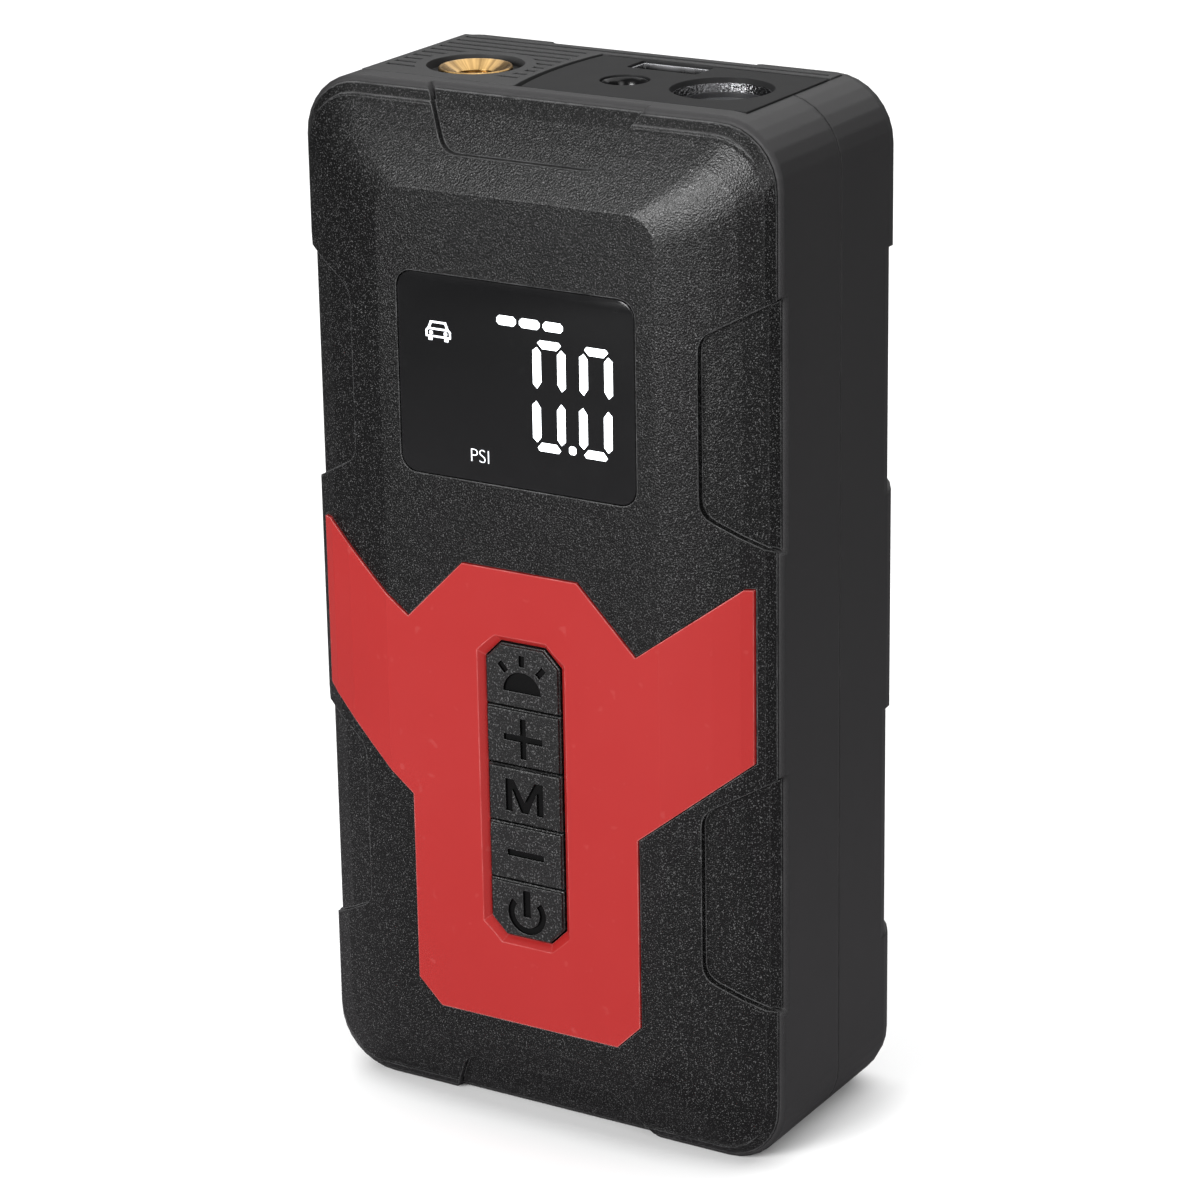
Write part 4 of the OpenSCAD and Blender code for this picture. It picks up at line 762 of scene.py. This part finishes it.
def car_symbol():
    """A small car from the front: body, windscreen, nose and two lamps."""
    middle = (-14.6, 140.95)
    outer = [(-2.45, -1.1), (-2.45, 0.1), (-2.0, 0.5), (-1.55, 1.65), (1.55, 1.65), (2.0, 0.5), (2.45, 0.1),
             (2.45, -1.1), (1.95, -1.1), (1.95, -1.65), (1.15, -1.65), (1.15, -1.1), (-1.15, -1.1),
             (-1.15, -1.65), (-1.95, -1.65), (-1.95, -1.1)]
    screen = [(-1.55, 0.5), (-1.22, 1.3), (1.22, 1.3), (1.55, 0.5)]
    nose = [(-2.1, -0.78), (-2.1, -0.02), (-1.75, 0.16), (1.75, 0.16), (2.1, -0.02), (2.1, -0.78)]
    body = plate("body", [outer, screen, nose], PRINT_FRONT, PRINT_BACK, middle)
    lamps = [plate("lamp", [ring_points(0.36, count=16, x=x, z=-0.35)], PRINT_FRONT, PRINT_BACK, middle)
             for x in (-1.4, 1.4)]
    return joined("car_symbol", [*lamps, body])


def unit_legend():
    """The pressure unit at the foot of the display."""
    bpy.ops.object.select_all(action="DESELECT")
    bpy.ops.object.text_add(location=(0, 0, 0))
    text = bpy.context.object
    text.data.body = "PSI"
    text.data.size = 3.35 * MM
    text.data.extrude = 0.06 * MM
    text.data.offset = -0.07 * MM
    text.data.align_x, text.data.align_y = "CENTER", "CENTER"
    text.rotation_euler = (math.pi / 2, 0, 0)
    text.location = (-7.1 * MM, (FACE_Y + 0.04) * MM, 120.6 * MM)
    pick(text)
    bpy.ops.object.convert(target="MESH")
    legend = bpy.context.object
    legend.name = legend.data.name = "unit_legend"
    settle(legend)
    clean(legend)
    return legend


window = copy_of("display_window", "window_pane")
soften(window, WINDOW_ROUNDING, 2)
finished(window, WINDOW, PACK, ["display_window"])
finished(lit_segments(), LIT, PACK)
finished(car_symbol(), LIT_SMALL, PACK)
finished(unit_legend(), LIT_SMALL, PACK)


# ---------------------------------------------------------------------------------------------
# Top: hose connector, sockets and torch

def hose_connector():
    """Brass face dished towards a threaded mouth, with a neck and a barb below."""
    profile = [(1.0, 163.0), (2.4, 163.0), (2.4, 164.2), (2.15, 164.9), (2.4, 165.0), (2.4, 167.0),
               (4.6, 167.0), (4.6, 175.8), (6.2, 175.8), (6.2, 179.5), (6.0, 179.7), (5.75, 179.7),
               (5.55, 179.6), (4.6, 179.0), (3.75, 178.6), (3.4, 178.3)]
    crest, root, land, pitch = 3.4, 3.72, 0.1, 0.8
    height, thread_end = 178.2, 171.6
    while height > thread_end:
        profile += [(crest, height - land), (root, height - pitch / 2), (crest, height - pitch + land)]
        height -= pitch
    profile += [(crest, 170.7), (1.0, 170.7), (1.0, 163.0)]
    return turned_part("hose_connector", profile, *OUTLET)


def charging_socket():
    """Round socket with a bevelled mouth; its centre pin is a node of its own."""
    profile = [(0.0, 165.0), (4.0, 165.0), (4.0, 179.4), (3.93, 179.62), (3.8, 179.7), (3.65, 179.6),
               (3.3, 179.0), (3.05, 178.2), (2.93, 177.2), (2.9, 176.0), (2.9, 171.5), (2.75, 171.3),
               (2.75, 169.7), (0.0, 169.7)]
    return turned_part("charging_socket", profile, *CHARGER)


def torch_bezel():
    """Dark-coated ring round the torch's lens."""
    profile = [(7.35, 177.86), (7.7, 177.86), (7.72, 178.3), (8.0, 179.05), (8.0, 179.2), (7.87, 179.2),
               (7.66, 178.7), (7.48, 178.25), (7.35, 177.86)]
    return turned_part("torch_bezel", profile, *TORCH)


def usb_contacts():
    """The four contact strips of the USB socket, in a row."""
    first, pitch, top = USB[0] - 3.5, 7.0 / 3, 176.9
    strips = []
    for i in range(4):
        strip = plate("strip", [box_loop(-0.5, -5.6, 0.5, 0, 0.15)], 0, 0.12)
        strip.location = ((first + pitch * i) * MM, (USB[1] - 0.05) * MM, top * MM)
        strips.append(settle(strip))
    return joined("usb_contacts", strips)


finished(hose_connector(), CONNECTOR, PACK, ["air_outlet"])
finished(charging_socket(), GLOSS, PACK, ["dc_socket"])
finished(torch_bezel(), DARK_MIRROR, PACK)
finished(usb_contacts(), GOLD, PACK)


# ---------------------------------------------------------------------------------------------
# Floor, light and camera, in metres

FLOOR_SIZE, FLOOR_DROP = 12, 0.0003
PAPER = (0.93, 0.93, 0.93)
MIRRORED_NEAR, MIRRORED_FAR = (0.24, 0.23, 0.24), (0.07, 0.07, 0.07)
NEAR, FAR = 0.06, 0.5
ROOM_LIGHT = 0.12

FOCAL_LENGTH, SENSOR_WIDTH = 124.91, 36      # millimetres
CAMERA_PLACE = (0.3468, -0.57237, 0.32268)
CAMERA_RIGHT = (0.8583, 0.5129, -0.0157)
CAMERA_BACK = (0.4888, -0.8079, 0.3292)


def softbox(name, size, power, place, target):
    """A rectangular light that faces its target."""
    data = bpy.data.lights.new(name, "AREA")
    data.shape = "RECTANGLE"
    data.size, data.size_y = size
    data.energy = power
    obj = bpy.data.objects.new(name, data)
    bpy.context.scene.collection.objects.link(obj)
    obj.location = place
    obj.rotation_euler = (Vector(target) - Vector(place)).to_track_quat("-Z", "Y").to_euler()


def studio():
    """White paper under the pack, even light all round and three softboxes."""
    bpy.ops.object.select_all(action="DESELECT")
    bpy.ops.mesh.primitive_plane_add(size=FLOOR_SIZE, location=(0, 0, -FLOOR_DROP))
    floor = bpy.context.object
    floor.name = "floor"
    material, tree, shader = start_material("floor_paper", Roughness=0.9)
    # The paper shows up weaker in glossy surfaces than it is, and weaker still further away
    glossy = tree.nodes.new("ShaderNodeLightPath").outputs["Is Glossy Ray"]
    span = tree.nodes.new("ShaderNodeVectorMath")
    span.operation = "LENGTH"
    tree.links.new(tree.nodes.new("ShaderNodeTexCoord").outputs["Object"], span.inputs[0])
    far = remap(tree, span.outputs["Value"], NEAR, FAR)
    mirrored = tint(tree, far, MIRRORED_NEAR, MIRRORED_FAR)
    tree.links.new(tint(tree, glossy, PAPER, mirrored), shader.inputs["Base Color"])
    floor.data.materials.append(material)
    world = bpy.data.worlds.new("studio")
    bpy.context.scene.world = world
    world.use_nodes = True
    background = world.node_tree.nodes["Background"]
    background.inputs["Color"].default_value = (1, 1, 1, 1)
    background.inputs["Strength"].default_value = ROOM_LIGHT
    softbox("key_softbox", size=(0.42, 0.42), power=18.0,
            place=(-0.20, -1.115, 0.445), target=(0.02, -0.02, 0.12))
    softbox("top_softbox", size=(5, 5), power=150.0, place=(0, 1.6, 2.2), target=(0, 1.6, 0))
    softbox("side_softbox", size=(0.5, 0.9), power=6.0, place=(1.0, -0.75, 0.5), target=(0, 0, 0.1))


def camera():
    """The camera's right and back directions, squared up, give its turn."""
    data = bpy.data.cameras.new("camera")
    data.lens, data.sensor_width = FOCAL_LENGTH, SENSOR_WIDTH
    data.clip_start, data.clip_end = 0.05, 30
    obj = bpy.data.objects.new("camera", data)
    bpy.context.scene.collection.objects.link(obj)
    back = Vector(CAMERA_BACK).normalized()
    up = back.cross(Vector(CAMERA_RIGHT).normalized()).normalized()
    right = up.cross(back)
    rows = [(right[i], up[i], back[i], CAMERA_PLACE[i]) for i in range(3)]
    obj.matrix_world = Matrix((*rows, (0, 0, 0, 1)))
    bpy.context.scene.camera = obj


studio()
camera()
bpy.context.scene.view_settings.view_transform = "Standard"
